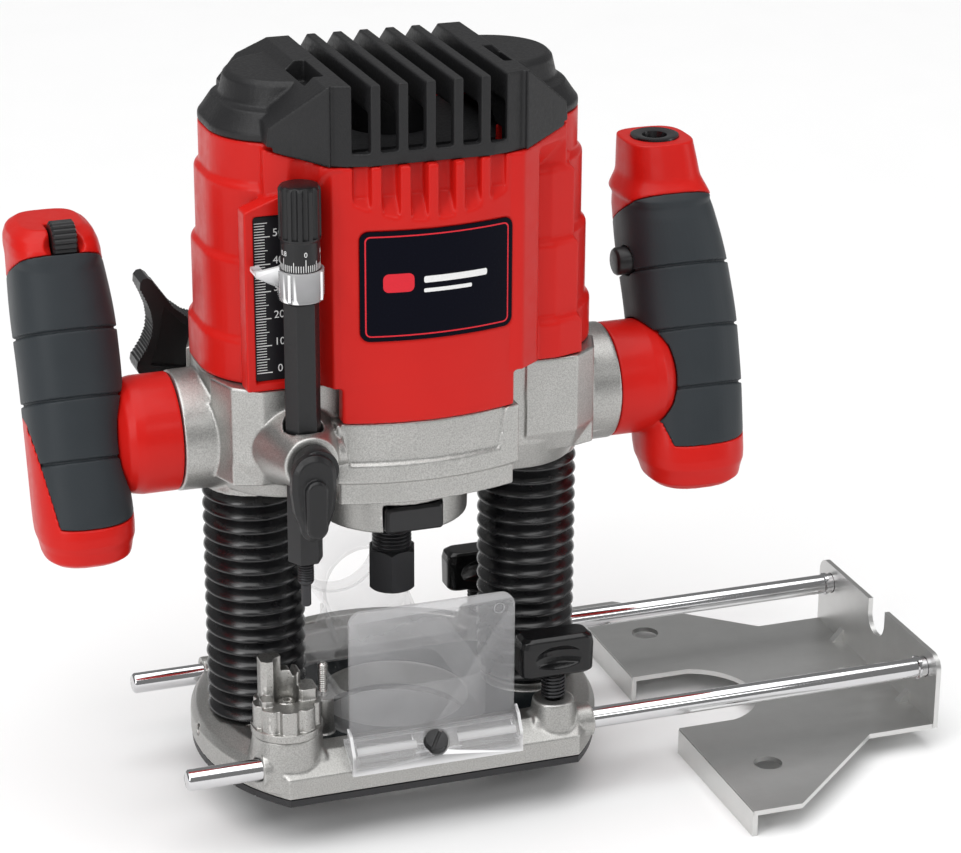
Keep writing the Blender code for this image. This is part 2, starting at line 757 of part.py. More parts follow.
def fence():
    """Two guide rods and a bent zinc-plated sheet: lip, flat plate with a cut-out, upright flange."""
    swage_x = FENCE_FLANGE_X - 0.0042
    sections = (
        (ROD_LEFT_X, ROD_RADIUS - 0.0010),
        (ROD_LEFT_X + 0.0010, ROD_RADIUS),
        (swage_x, ROD_RADIUS),
        (swage_x + 0.0004, ROD_RADIUS + 0.0006),
        (swage_x + 0.0018, ROD_RADIUS + 0.0006),
        (swage_x + 0.0022, ROD_RADIUS),
        (FENCE_FLANGE_X + SHEET, ROD_RADIUS),
    )
    for name, side in (("front", -1), ("rear", 1)):
        centre = (side * ROD_Y, ROD_Z)
        rings = [[(x, u, v) for u, v in polygon(centre, radius, 20)] for x, radius in sections]
        loft(f"guide_rod_{name}", rings, "chrome_steel")
    corner_x, shoulder_x, notch_half = 0.130, 0.179, 0.0240
    arc_centre_x, arc_radius = 0.127, 0.025
    left_x, right_x = FENCE_LEFT_X + GAP, FENCE_FLANGE_X + SHEET / 2
    bend_half = FENCE_FLANGE_HALF_Y - GAP
    outline = [
        (right_x, -bend_half),
        (right_x, bend_half),
        (shoulder_x, bend_half),
        (corner_x, FENCE_HALF_Y),
        (left_x, FENCE_HALF_Y),
        (left_x, notch_half),
    ]
    sweep = math.degrees(math.asin(notch_half / arc_radius))
    outline += arc((arc_centre_x, 0), arc_radius, sweep, -sweep, 16)
    outline += [
        (left_x, -notch_half),
        (left_x, -FENCE_HALF_Y),
        (corner_x, -FENCE_HALF_Y),
        (shoulder_x, -bend_half),
    ]
    holes = [polygon(centre, 0.0055, 14) for centre in ((0.1312, -0.0620), (0.1312, 0.0620), (0.1960, 0))]
    plate = prism(
        "fence_plate",
        outline,
        FENCE_TOP_Z - SHEET,
        FENCE_TOP_Z,
        holes=holes,
        finish="zinc_sheet",
    )
    for name, side in (("front", -1), ("rear", 1)):
        low, high = sorted((side * (notch_half + GAP), side * (FENCE_HALF_Y - GAP)))
        lip = box(
            f"fence_lip_{name}",
            (FENCE_LEFT_X, low, FENCE_LIP_BOTTOM_Z),
            (FENCE_LEFT_X + SHEET, high, FENCE_TOP_Z - 0.0005),
        )
        join(plate, lip)
    corner, slot = 0.006, 0.0072
    flange_bottom = FENCE_TOP_Z - SHEET + GAP
    flange = [(FENCE_FLANGE_HALF_Y, flange_bottom)]
    flange += arc((FENCE_FLANGE_HALF_Y - corner, FENCE_FLANGE_TOP_Z - corner), corner, 0, 90, 5)
    flange += [(slot, FENCE_FLANGE_TOP_Z)]
    flange += arc((0, 0.0140), slot, 0, -180, 10)
    flange += [(-slot, FENCE_FLANGE_TOP_Z)]
    flange += arc((-FENCE_FLANGE_HALF_Y + corner, FENCE_FLANGE_TOP_Z - corner), corner, 90, 180, 5)
    flange += [(-FENCE_FLANGE_HALF_Y, flange_bottom)]
    rod_holes = [polygon((side * ROD_Y, ROD_Z), ROD_RADIUS + GAP, 24) for side in (-1, 1)]
    join(
        plate,
        prism("fence_flange", flange, FENCE_FLANGE_X, FENCE_FLANGE_X + SHEET, axis="X", holes=rod_holes),
    )
    for name, side in (("front", -1), ("rear", 1)):
        gusset = [
            (FENCE_FLANGE_X - 0.0050, FENCE_TOP_Z - 0.0005),
            (FENCE_FLANGE_X + 0.0005, FENCE_TOP_Z - 0.0005),
            (FENCE_FLANGE_X + 0.0005, FENCE_TOP_Z + 0.0055),
        ]
        y = side * 0.030
        join(plate, prism(f"fence_gusset_{name}", gusset, y - 0.0016, y + 0.0016, axis="Y"))


# ---------------------------------------------------------------- motor bracket and housing


def front_outline(half_x, inset=0.0, side=-1):
    """The bowed front or rear face, closed back to the middle of the body."""
    radius = FRONT_ARC_RADIUS - inset
    centre_v = side * (FRONT_Y - FRONT_ARC_RADIUS)
    sweep = math.degrees(math.asin(half_x / radius))
    points = arc((0, centre_v), radius, side * 90 - sweep, side * 90 + sweep, 10)
    first, last = points[0], points[-1]
    return points + [(last[0], 0), (first[0], 0)]


def body_outline(inset=0.0):
    return rounded_rectangle(HOUSING_HALF_X - inset, HOUSING_HALF_Y - inset, HOUSING_CORNER - inset, 7)


def motor_bracket():
    """Cast bracket: body round the motor, column sleeves, handle arms, spindle nose, rod boss."""
    low = BRACKET_BOTTOM_Z
    bracket = loft(
        "motor_bracket",
        [
            at_height(body_outline(0.0060), low),
            at_height(body_outline(0.0008), low + 0.012),
            at_height(body_outline(0.0004), BRACKET_TOP_Z),
        ],
        "cast_aluminium",
    )
    for end, side in (("front", -1), ("rear", 1)):
        band = prism(f"bracket_{end}", front_outline(0.0345, side=side), low, FRONT_SPLIT_Z)
        join(bracket, band)
    for name, side in both_sides():
        centre = (side * COLUMN_X, 0)
        sleeve = cylinder(f"sleeve_{name}", (*centre, SLEEVE_BOTTOM_Z), (*centre, 0.150), SLEEVE_RADIUS)
        arm = cylinder(
            f"arm_{name}",
            (side * 0.050, 0, ARM_Z),
            (side * ARM_END_X, 0, ARM_Z),
            ARM_RADIUS + 0.0004,
            end_radius=ARM_RADIUS,
            steps=28,
        )
        join(bracket, sleeve, arm)
    nose = cylinder("nose", (0, 0, NOSE_BOTTOM_Z), (0, 0, low + 0.004), NOSE_RADIUS, steps=32)
    rod_boss = cylinder(
        "rod_boss",
        (DEPTH_ROD_X, -0.0330, DEPTH_BOSS_Z),
        (DEPTH_ROD_X, -0.0560, DEPTH_BOSS_Z),
        0.0165,
        end_radius=0.0098,
        steps=28,
    )
    lever_boss = cylinder(
        "lever_boss",
        (-COLUMN_X, 0.030, LEVER_Z),
        (-COLUMN_X, 0.0395, LEVER_Z),
        0.0100,
        steps=24,
    )
    join(bracket, nose, rod_boss, lever_boss)
    lock_gap = box("lock_gap", (-0.0115, -0.0300, 0.0900), (0.0115, -0.0095, 0.1030))
    cavity = cylinder("motor_cavity", (0, 0, 0.1240), (0, 0, 0.1700), 0.0410, steps=32)
    seat = cylinder("bearing_seat", (0, 0, 0.1060), (0, 0, 0.1300), 0.0165)
    bore = cylinder("spindle_bore", (0, 0, 0.0800), (0, 0, 0.1300), 0.0105)
    rod_hole = cylinder(
        "rod_hole",
        (DEPTH_ROD_X, DEPTH_ROD_Y, 0.1000),
        (DEPTH_ROD_X, DEPTH_ROD_Y, 0.1800),
        0.0070,
        steps=24,
    )
    clamp_hole = cylinder(
        "clamp_hole",
        (DEPTH_ROD_X, -0.0600, DEPTH_BOSS_Z),
        (DEPTH_ROD_X, -0.050, DEPTH_BOSS_Z),
        0.0034,
        steps=16,
    )
    panel = [(-0.0305, 0.1290), (0.0262, 0.1290), (0.0295, 0.1460), (-0.0335, 0.1460)]
    panel_waste = prism("panel_waste", panel, -0.0600, -0.0400, axis="Y")
    cut(panel_waste, prism("panel_back", front_outline(0.0400, inset=0.0009), 0.1200, 0.1500))
    lever_hole = cylinder(
        "lever_hole",
        (-COLUMN_X, 0.0340, LEVER_Z),
        (-COLUMN_X, 0.0450, LEVER_Z),
        0.0034,
        steps=16,
    )
    cut(bracket, lock_gap, cavity, seat, bore, rod_hole, clamp_hole, panel_waste, lever_hole)
    for end, side in (("front", -1), ("rear", 1)):
        low_y, high_y = sorted((side * 0.0300, side * 0.0600))
        cut(bracket, box(f"split_{end}", (-0.0328, low_y, FRONT_SPLIT_Z), (0.0328, high_y, 0.170)))
    for name, side in both_sides():
        cut(
            bracket,
            cylinder(f"sleeve_bore_{name}", (side * COLUMN_X, 0, 0.1), (side * COLUMN_X, 0, 0.17), 0.0135),
            cylinder(
                f"arm_bore_{name}",
                (side * 0.0690, 0, ARM_Z),
                (side * 0.0900, 0, ARM_Z),
                HANDLE_SPIGOT_RADIUS + GAP,
                steps=24,
            ),
            cylinder(
                f"arm_screw_bore_{name}",
                (side * 0.0765, 0, 0.105),
                (side * 0.0765, 0, 0.128),
                0.0028,
                steps=16,
            ),
        )


def tier_rings(inset):
    """The housing's sides step in three times on the way up."""
    rings = []
    levels = (BRACKET_TOP_Z + GAP, *TIER_STEPS_Z, HOUSING_TOP_Z)
    for i, (low, high) in enumerate(zip(levels, levels[1:])):
        shrink = inset + i * TIER_INSET
        start = low if i == 0 else low + 0.0025
        rings.append(at_height(body_outline(shrink), start))
        rings.append(at_height(body_outline(shrink), high))
    return rings


def motor_housing():
    """Red casing: stepped sides over the columns, bowed front and rear, and a recess for the scale."""
    housing = loft("motor_housing", tier_rings(0), "red_plastic")
    low = BRACKET_TOP_Z + GAP
    for end, side in (("front", -1), ("rear", 1)):
        face = prism(f"face_{end}", front_outline(FRONT_HALF_X, side=side), low, CAP_FRONT_BOTTOM_Z - GAP)
        shoulder = [(-0.0440, 0), (-0.0430, side * 0.0400), (-0.0350, side * 0.0462)]
        shoulder += [(-x, y) for x, y in reversed(shoulder)]
        if end == "front":
            shoulder = [(-0.0400, 0), (-0.0395, -0.0360), (-0.0355, -0.0456)] + shoulder[3:]
        join(housing, face, prism(f"shoulder_{end}", shoulder, low, CAP_FRONT_BOTTOM_Z - GAP))
        apron_outline = front_outline(0.0322, inset=0.0001, side=side)
        apron = prism(f"apron_{end}", apron_outline, FRONT_SPLIT_Z + GAP, 0.1600)
        cut(apron, box(f"apron_waste_{end}", (-0.0500, -0.0450, 0.1300), (0.0500, 0.0450, 0.1620)))
        join(housing, apron)
        top_z = CAP_FRONT_BOTTOM_Z - GAP
        brow_top = [(-0.0555, side * 0.0385), (-0.0360, side * 0.0462), (0.0360, side * 0.0462)]
        brow_top = brow_top + [(0.0555, side * 0.0385), (0.0555, 0), (-0.0555, 0)]
        brow_low = [(x, math.copysign(min(abs(y), 0.0365), y)) for x, y in brow_top]
        join(housing, loft(f"brow_{end}", [at_height(brow_low, 0.2265), at_height(brow_top, top_z)]))
    wall = 0.0032
    cut(
        housing,
        cylinder("stator_space", (0, 0, 0.150), (0, 0, 0.260), 0.0425, steps=40),
        loft(
            "housing_cavity",
            [at_height(body_outline(wall + 3 * TIER_INSET), z) for z in (0.1500, 0.2600)],
        ),
        box("motor_space", (-0.0295, -0.0440, 0.1590), (0.0295, 0.0440, 0.2600)),
    )
    for name, side in both_sides():
        centre = (side * COLUMN_X, 0)
        cut(housing, cylinder(f"column_space_{name}", (*centre, 0.150), (*centre, 0.260), 0.0125))
    knob_path = (DEPTH_ROD_X, DEPTH_ROD_Y)
    cut(housing, cylinder("knob_channel", (*knob_path, 0.2100), (*knob_path, 0.2420), 0.0080))
    cut(housing, box("scale_recess", (-0.0618, -0.0380, 0.1612), (-0.0418, -0.0359, 0.2222)))
    badge_waste = prism(
        "badge_recess",
        rounded_rectangle(0.0287, 0.0204, 0.0035, 4, (0.0022, 0.1960)),
        -0.0600,
        -0.0400,
        axis="Y",
    )
    badge_back = prism("badge_back", front_outline(0.0320, inset=0.0008), 0.1400, 0.2400)
    cut(badge_waste, badge_back)
    cut(housing, badge_waste)
    for i in range(SLOT_COUNT):
        x = (i - (SLOT_COUNT - 1) / 2) * SLOT_PITCH
        groove = [(-0.0530, 0.2170), (-0.0530, 0.2500), (-0.0470, 0.2500)]
        cut(housing, prism(f"vent_groove_{i}", groove, x - SLOT_WIDTH / 2, x + SLOT_WIDTH / 2, axis="X"))


def badge_plate():
    """Plain label curved to the front face."""
    badge = prism(
        "badge_plate",
        rounded_rectangle(0.0284, 0.0201, 0.0033, 4, (0.0022, 0.1960)),
        -0.0600,
        -0.0400,
        axis="Y",
        finish="navy_label",
    )
    outer = prism("badge_outer", front_outline(0.0330, inset=-0.0003), 0.1400, 0.2600)
    inner = prism("badge_inner", front_outline(0.0335, inset=0.0005), 0.1300, 0.2650)
    boolean(badge, outer, "INTERSECT")
    cut(badge, inner)


def depth_scale():
    box("depth_scale", (-0.0615, -0.0368, 0.1615), (-0.0421, -0.0362, 0.2219), "black_scale")


def top_cap():
    """Black cap: six slats over the air intake and a rounded lobe over each column."""
    low = HOUSING_TOP_Z + GAP
    inset = 3 * TIER_INSET
    lobe_outline = body_outline(inset)
    cap = loft(
        "top_cap",
        [
            at_height(lobe_outline, low),
            at_height(lobe_outline, low + 0.004),
            at_height(body_outline(inset + 0.0035), 0.2555),
            at_height(body_outline(inset + 0.0045), 0.2560),
            at_height(body_outline(inset + 0.0095), 0.2640),
            at_height(body_outline(inset + 0.0125), 0.2665),
        ],
        "black_plastic",
    )
    block = [
        (-0.0555, low - 0.0012),
        (-0.0345, CAP_FRONT_BOTTOM_Z),
        (0.0345, CAP_FRONT_BOTTOM_Z),
        (0.0555, low - 0.0012),
        (0.0545, 0.2530),
        (0.0370, CAP_TOP_Z),
        (-0.0370, CAP_TOP_Z),
        (-0.0545, 0.2530),
    ]
    crown = prism("cap_crown", block, -0.0480, 0.0480, axis="Y")
    plan = [(-0.0555, -0.0385), (-0.0360, -0.0462)]
    plan += arc((0, FRONT_ARC_RADIUS - FRONT_Y), FRONT_ARC_RADIUS, -90 - 21, -90 + 21, 8)
    plan += [(0.0360, -0.0462), (0.0555, -0.0385)]
    plan += [(x, -y) for x, y in reversed(plan)]
    boolean(crown, prism("cap_plan", plan, 0.23, 0.28), "INTERSECT")
    back_chamfer = [(0.0300, 0.2700), (0.0300, CAP_TOP_Z), (0.0520, 0.2520), (0.0520, 0.2700)]
    cut(crown, prism("cap_back_chamfer", back_chamfer, -0.06, 0.06, axis="X"))
    cut(crown, box("cap_under_waste", (-0.08, -0.0360, 0.23), (0.08, 0.0360, low)))
    join(cap, crown)
    wall = 0.0032
    hollow = loft(
        "cap_hollow",
        [
            at_height(body_outline(inset + wall), 0.2300),
            at_height(body_outline(inset + wall), low + 0.003),
            at_height(body_outline(inset + wall + 0.006), 0.2575),
        ],
    )
    front_hollow = box("cap_front_hollow", (-0.0300, -0.0440, 0.2300), (0.0300, 0.0440, 0.2575))
    cut(cap, hollow, front_hollow)
    holder = cylinder("bearing_holder", (0, 0, 0.2265), (0, 0, 0.2600), 0.0140)
    join(cap, holder)
    cut(cap, cylinder("bearing_hole", (0, 0, 0.2000), (0, 0, 0.2520), 0.0108))
    for i in range(SLOT_COUNT):
        x = (i - (SLOT_COUNT - 1) / 2) * SLOT_PITCH
        low_x, high_x = x - SLOT_WIDTH / 2, x + SLOT_WIDTH / 2
        cut(
            cap,
            box(f"top_slot_{i}", (low_x, -0.0520, 0.2535), (high_x, 0.0440, 0.2800)),
            box(f"front_slot_{i}", (low_x, -0.0560, 0.2440), (high_x, -0.0400, 0.2700)),
        )
    for name, side in both_sides():
        low_x, high_x = sorted((side * 0.0330, side * 0.0400))
        cut(cap, box(f"lobe_slot_{name}", (low_x, -0.0300, 0.2600), (high_x, -0.0060, 0.2700)))


# ---------------------------------------------------------------- motor


def motor():
    """Universal motor: stator, armature on the spindle, commutator, brushes, fan and bearings."""
    ring("stator", (0, 0, 0), 0.0280, 0.0420, 0.1660, 0.2150, "laminated_steel", 32)
    ring("lower_bearing", (0, 0, 0), 0.0088, 0.0162, 0.1065, 0.1200, "chrome_steel", 24)
    ring("upper_bearing", (0, 0, 0), 0.0044, 0.0105, 0.2290, 0.2360, "chrome_steel", 20)
    for name, side in both_sides():
        low, high = sorted((side * 0.0148, side * 0.0340))
        box(f"brush_holder_{name}", (low, -0.0050, 0.2165), (high, 0.0050, 0.2255), "bronze")
        ring(
            f"column_bush_{name}",
            (side * COLUMN_X, 0, 0),
            COLUMN_RADIUS + GAP,
            0.0132,
            0.1125,
            0.1350,
            "bronze",
            24,
        )
    shaft_profile = [
        (0, 0.2380),
        (0.0040, 0.2380),
        (0.0040, 0.2270),
        (0.0050, 0.2262),
        (0.0050, 0.1380),
        (0.0085, 0.1370),
        (0.0085, 0.1040),
        (SPINDLE_RADIUS, 0.1030),
        (SPINDLE_RADIUS, SPINDLE_BOTTOM_Z),
        (0.0064, SPINDLE_BOTTOM_Z),
        (0.0064, 0.0950),
        (0, 0.0950),
    ]
    turned("spindle_shaft", shaft_profile, finish="black_steel", steps=16)
    ring("armature_core", (0, 0, 0), 0.0053, ROTOR_RADIUS, 0.1680, 0.2130, "laminated_steel", 24)
    ring("commutator", (0, 0, 0), 0.0053, 0.0142, 0.2150, 0.2258, "copper", 20)
    fan = ring("fan", (0, 0, 0), 0.0053, 0.0120, 0.1400, 0.1520, "black_plastic", 20)
    join(fan, ring("fan_disc", (0, 0, 0), 0.0110, 0.0360, 0.1400, 0.1418, steps=28))
    for i in range(8):
        blade = box(f"fan_blade_{i}", (0.0110, -0.0009, 0.1410), (0.0345, 0.0009, 0.1514))
        blade.data.transform(Matrix.Rotation(math.radians(45 * i + 7), 4, "Z"))
        join(fan, blade)
    turned(
        "collet",
        [
            (0.0059, 0.0900),
            (0.0059, 0.0625),
            (0.0050, 0.0598),
            (0.0040, 0.0598),
            (0.0040, 0.0900),
        ],
        finish="turned_steel",
        steps=24,
        closed=True,
    )
    corner = NUT_FLATS / math.sqrt(3)
    nut = prism(
        "collet_nut",
        polygon((0, 0), corner, 6, 12),
        NUT_BOTTOM_Z,
        NUT_TOP_Z,
        finish="black_steel",
    )
    chamfer_profile = [
        (0, NUT_TOP_Z + 0.001),
        (corner - 0.0026, NUT_TOP_Z + 0.001),
        (corner + 0.0006, NUT_TOP_Z - 0.0016),
        (corner + 0.0006, NUT_BOTTOM_Z + 0.0020),
        (corner - 0.0022, NUT_BOTTOM_Z - 0.001),
        (0, NUT_BOTTOM_Z - 0.001),
    ]
    boolean(nut, turned("nut_chamfer", chamfer_profile, steps=24), "INTERSECT")
    cut(
        nut,
        cylinder("nut_thread", (0, 0, 0.0675), (0, 0, 0.0800), SPINDLE_RADIUS + GAP, steps=16),
        cylinder("nut_mouth", (0, 0, 0.0500), (0, 0, 0.0700), 0.0062, steps=16),
    )


def spindle_lock():
    lock = box("spindle_lock", (-0.0111, -0.0292, 0.0926), (0.0111, -0.0160, 0.1026), "black_plastic")
    join(lock, cylinder("lock_pin", (0, -0.0170, LOCK_Z), (0, -0.0125, LOCK_Z), 0.0020, steps=12))


# ---------------------------------------------------------------- depth stop


def depth_stop():
    """Hexagonal depth rod, the threaded pin in its lower end, fine-adjustment knob, pointer and clamp."""
    x, y = DEPTH_ROD_X, DEPTH_ROD_Y
    corner = DEPTH_ROD_FLATS / math.sqrt(3)
    rod = prism(
        "depth_rod",
        polygon((x, y), corner, 6),
        DEPTH_ROD_BOTTOM_Z,
        0.1930,
        finish="black_plastic",
    )
    join(rod, cylinder("rod_spindle", (x, y, 0.190), (x, y, 0.2200), 0.0025, steps=16))
    cut(rod, cylinder("pin_bore", (x, y, 0.090), (x, y, 0.120), DEPTH_PIN_RADIUS + GAP, steps=16))
    turned(
        "depth_pin",
        [
            (0, 0.1120),
            (DEPTH_PIN_RADIUS, 0.1120),
            (DEPTH_PIN_RADIUS, 0.0860),
            (0.0018, 0.0855),
            (0.0018, DEPTH_TIP_Z),
            (0, DEPTH_TIP_Z),
        ],
        (x, y, 0),
        finish="black_steel",
        steps=16,
    )
    pointer = ring("depth_pointer", (x, y, 0), 0.0073, 0.0082, 0.1940, 0.2050, "clear_plastic", 24)
    join(pointer, ring("pointer_floor", (x, y, 0), 0.0030, 0.0080, 0.1936, 0.1950, steps=24))
    arm = [(-0.0548, 0.1985), (-0.0632, 0.2030), (-0.0632, 0.2050), (-0.0548, 0.2062)]
    join(pointer, prism("pointer_arm", arm, y - 0.0008, y + 0.0008, axis="Y"))
    tongue = box("pointer_tongue", (-0.0632, y - 0.0006, 0.2032), (-0.0600, -0.0382, 0.2048))
    join(pointer, tongue)
    knob = turned(
        "fine_adjust_knob",
        [
            (0, 0.2352),
            (0.0060, 0.2352),
            (0.0074, 0.2338),
            (0.0074, 0.2160),
            (0.0069, 0.2155),
            (0.0069, 0.1956),
            (0.0028, 0.1956),
            (0.0028, 0.2215),
            (0, 0.2215),
        ],
        (x, y, 0),
        finish="black_plastic",
        steps=24,
    )
    for i in range(10):
        angle = math.radians(36 * i)
        place_x, place_y = x + 0.0080 * math.cos(angle), y + 0.0080 * math.sin(angle)
        flute = cylinder(
            f"knob_flute_{i}",
            (place_x, place_y, 0.2165),
            (place_x, place_y, 0.2380),
            0.0013,
            steps=6,
        )
        cut(knob, flute)
    clamp = cylinder(
        "depth_clamp",
        (x, DEPTH_CLAMP_Y + 0.0046, DEPTH_BOSS_Z),
        (x, DEPTH_CLAMP_Y - 0.0040, DEPTH_BOSS_Z),
        0.0030,
        "black_plastic",
        steps=16,
    )
    hub = cylinder(
        "clamp_hub",
        (x, DEPTH_CLAMP_Y - GAP, DEPTH_BOSS_Z),
        (x, DEPTH_CLAMP_Y - 0.0070, DEPTH_BOSS_Z),
        0.0078,
        steps=28,
    )
    wing = arc((x, 0.1350), 0.0082, 0, 180, 10)
    wing += [(x - 0.0078, 0.1280), (x - 0.0055, 0.1130)]
    wing += arc((x, 0.1115), 0.0055, 180, 360, 8)
    wing += [(x + 0.0055, 0.1130), (x + 0.0078, 0.1280)]
    rib = arc((x, 0.1335), 0.0034, 0, 180, 8) + arc((x, 0.1165), 0.0042, 180, 360, 8)
    join(
        clamp,
        hub,
        prism("clamp_wing", wing, DEPTH_CLAMP_Y - 0.0098, DEPTH_CLAMP_Y - 0.0045, axis="Y"),
        prism("clamp_rib", rib, DEPTH_CLAMP_Y - 0.0128, DEPTH_CLAMP_Y - 0.0090, axis="Y"),
    )


def plunge_lever():
    """Fan-shaped lever behind the left column that locks the plunge."""
    x, z = -COLUMN_X, LEVER_Z
    outline = [(x + 0.0085, z + 0.0060), (x + 0.0030, z + 0.0120), (-0.0640, 0.1635)]
    outline += [
        (-0.0750, 0.1710),
        (-0.0815, 0.1800),
        (-0.0840, 0.1832),
        (-0.0872, 0.1822),
        (-0.0876, 0.1790),
    ]
    outline += [
        (-0.0838, 0.1720),
        (-0.0824, 0.1630),
        (-0.0845, 0.1560),
        (-0.0886, 0.1500),
        (-0.0880, 0.1460),
    ]
    outline += [(-0.0850, 0.1440), (-0.0700, 0.1420), (x - 0.0020, z - 0.0090), (x + 0.0070, z - 0.0070)]
    low, high = LEVER_LOW_Y, LEVER_HIGH_Y
    lever = prism("plunge_lever", outline, low, high, axis="Y", finish="black_plastic")
    hub = cylinder("lever_hub", (x, low, z), (x, high + 0.0025, z), 0.0100, steps=24)
    pin = cylinder("lever_pin", (x, 0.0350, z), (x, low + 0.002, z), 0.0030, steps=16)
    join(lever, hub, pin)


# ---------------------------------------------------------------- handles

# (height, middle x, half width, half depth) of the handle's outer shape, bottom to top
LEFT_STATIONS = (
    (0.0910, -0.1195, 0.0125, 0.0130),
    (0.0935, -0.1195, 0.0165, 0.0175),
    (0.1060, -0.1193, 0.0180, 0.0200),
    (0.1300, -0.1200, 0.0172, 0.0195),
    (0.1550, -0.1190, 0.0182, 0.0205),
    (0.1780, -0.1195, 0.0184, 0.0205),
    (0.1930, -0.1202, 0.0172, 0.0195),
    (0.2050, -0.1210, 0.0160, 0.0185),
    (0.2100, -0.1210, 0.0145, 0.0165),
    (0.2125, -0.1210, 0.0110, 0.0125),
)
RIGHT_STATIONS = (
    (0.0910, 0.1170, 0.0150, 0.0140),
    (0.0935, 0.1170, 0.0190, 0.0185),
    (0.1060, 0.1170, 0.0208, 0.0205),
    (0.1300, 0.1185, 0.0206, 0.0200),
    (0.1550, 0.1185, 0.0206, 0.0205),
    (0.1780, 0.1165, 0.0202, 0.0205),
    (0.1930, 0.1145, 0.0188, 0.0200),
    (0.2020, 0.1130, 0.0184, 0.0195),
    (0.2080, 0.1136, 0.0150, 0.0165),
    (0.2125, 0.1138, 0.0142, 0.0150),
    (0.2215, 0.1138, 0.0138, 0.0145),
)


def station_at(stations, z):
    """The handle's middle and half sizes at a height, between its stations."""
    for below, above in zip(stations, stations[1:]):
        if below[0] <= z <= above[0]:
            part = (z - below[0]) / (above[0] - below[0])
            return [a + (b - a) * part for a, b in zip(below, above)]
    return stations[-1] if z > stations[-1][0] else stations[0]


def handle_ring(station, inset=0.0, steps=20, power=2.5):
    """A rounded section; the handle leans back as it rises."""
    z, x, half_x, half_y = station
    middle_y = (z - ARM_Z) * HANDLE_LEAN
    points = []
    for i in range(steps):
        angle = 2 * math.pi * i / steps
        cos, sin = math.cos(angle), math.sin(angle)
        u = math.copysign(abs(cos) ** (2 / power), cos) * (half_x - inset)
        v = math.copysign(abs(sin) ** (2 / power), sin) * (half_y - inset)
        points.append((x + u, middle_y + v, z))
    return points


def handle_tube(name, stations, low, high, inset, finish=None):
    """The part of the handle's shape between two heights, drawn in by an inset."""
    heights = [low] + [s[0] for s in stations if low + 0.002 < s[0] < high - 0.002] + [high]
    return loft(name, [handle_ring(station_at(stations, z), inset) for z in heights], finish)


def handle(name, side, stations):
    """Red core with full-size ends and a waist, its arm, and the rubber grip round the waist."""
    top = stations[-1][0]
    core = handle_tube(f"handle_{name}", stations, HANDLE_BOTTOM_Z, top, 0.0, "red_plastic")
    band = handle_tube(f"grip_band_{name}", stations, GRIP_BOTTOM_Z, GRIP_TOP_Z, -0.004)
    waist_low, waist_high = GRIP_BOTTOM_Z - 0.004, GRIP_TOP_Z + 0.004
    waist = handle_tube(f"waist_{name}", stations, waist_low, waist_high, GRIP_THICKNESS + GAP)
    cut(band, waist)
    cut(core, band)
    arm_inner = (side * (ARM_END_X + GAP), 0, ARM_Z)
    arm_outer = (side * 0.1120, 0, ARM_Z)
    arm = cylinder(f"handle_arm_{name}", arm_inner, arm_outer, ARM_RADIUS - 0.0004, steps=28)
    spigot = cylinder(
        f"handle_spigot_{name}",
        (side * 0.0700, 0, ARM_Z),
        (side * 0.0900, 0, ARM_Z),
        HANDLE_SPIGOT_RADIUS,
        steps=24,
    )
    join(core, arm, spigot)
    grip = handle_tube(f"grip_{name}", stations, GRIP_BOTTOM_Z + GAP, GRIP_TOP_Z - GAP, 0.0, "grey_rubber")
    bore = handle_tube(f"grip_bore_{name}", stations, waist_low, waist_high, GRIP_THICKNESS)
    clearance = cylinder(
        f"grip_clearance_{name}",
        (side * 0.0800, 0, ARM_Z),
        (side * 0.1180, 0, ARM_Z),
        ARM_RADIUS,
        steps=28,
    )
    cut(grip, bore, clearance)
    cylinder(
        f"handle_screw_{name}",
        (side * 0.0765, 0, 0.1125),
        (side * 0.0765, 0, ARM_Z - HANDLE_SPIGOT_RADIUS - GAP),
        0.0025,
        "turned_steel",
        steps=16,
    )
    return core, grip


def left_handle():
    """Left handle, with the speed dial in a slot near its top."""
    core, _grip = handle("left", -1, LEFT_STATIONS)
    dial_x, dial_y, dial_z = DIAL_CENTRE
    slot = box(
        "dial_slot",
        (dial_x - 0.0052, dial_y - 0.0100, dial_z - 0.0100),
        (dial_x + 0.0052, dial_y + 0.0100, dial_z + 0.0100),
    )
    cut(core, slot)
    dial = cylinder(
        "speed_dial",
        (dial_x - 0.0046, dial_y, dial_z),
        (dial_x + 0.0046, dial_y, dial_z),
        0.0088,
        "black_plastic",
        steps=30,
    )
    for i in range(10):
        angle = math.radians(36 * i)
        y, z = dial_y + 0.0093 * math.cos(angle), dial_z + 0.0093 * math.sin(angle)
        cut(
            dial,
            cylinder(f"dial_flute_{i}", (dial_x - 0.006, y, z), (dial_x + 0.006, y, z), 0.0010, steps=8),
        )


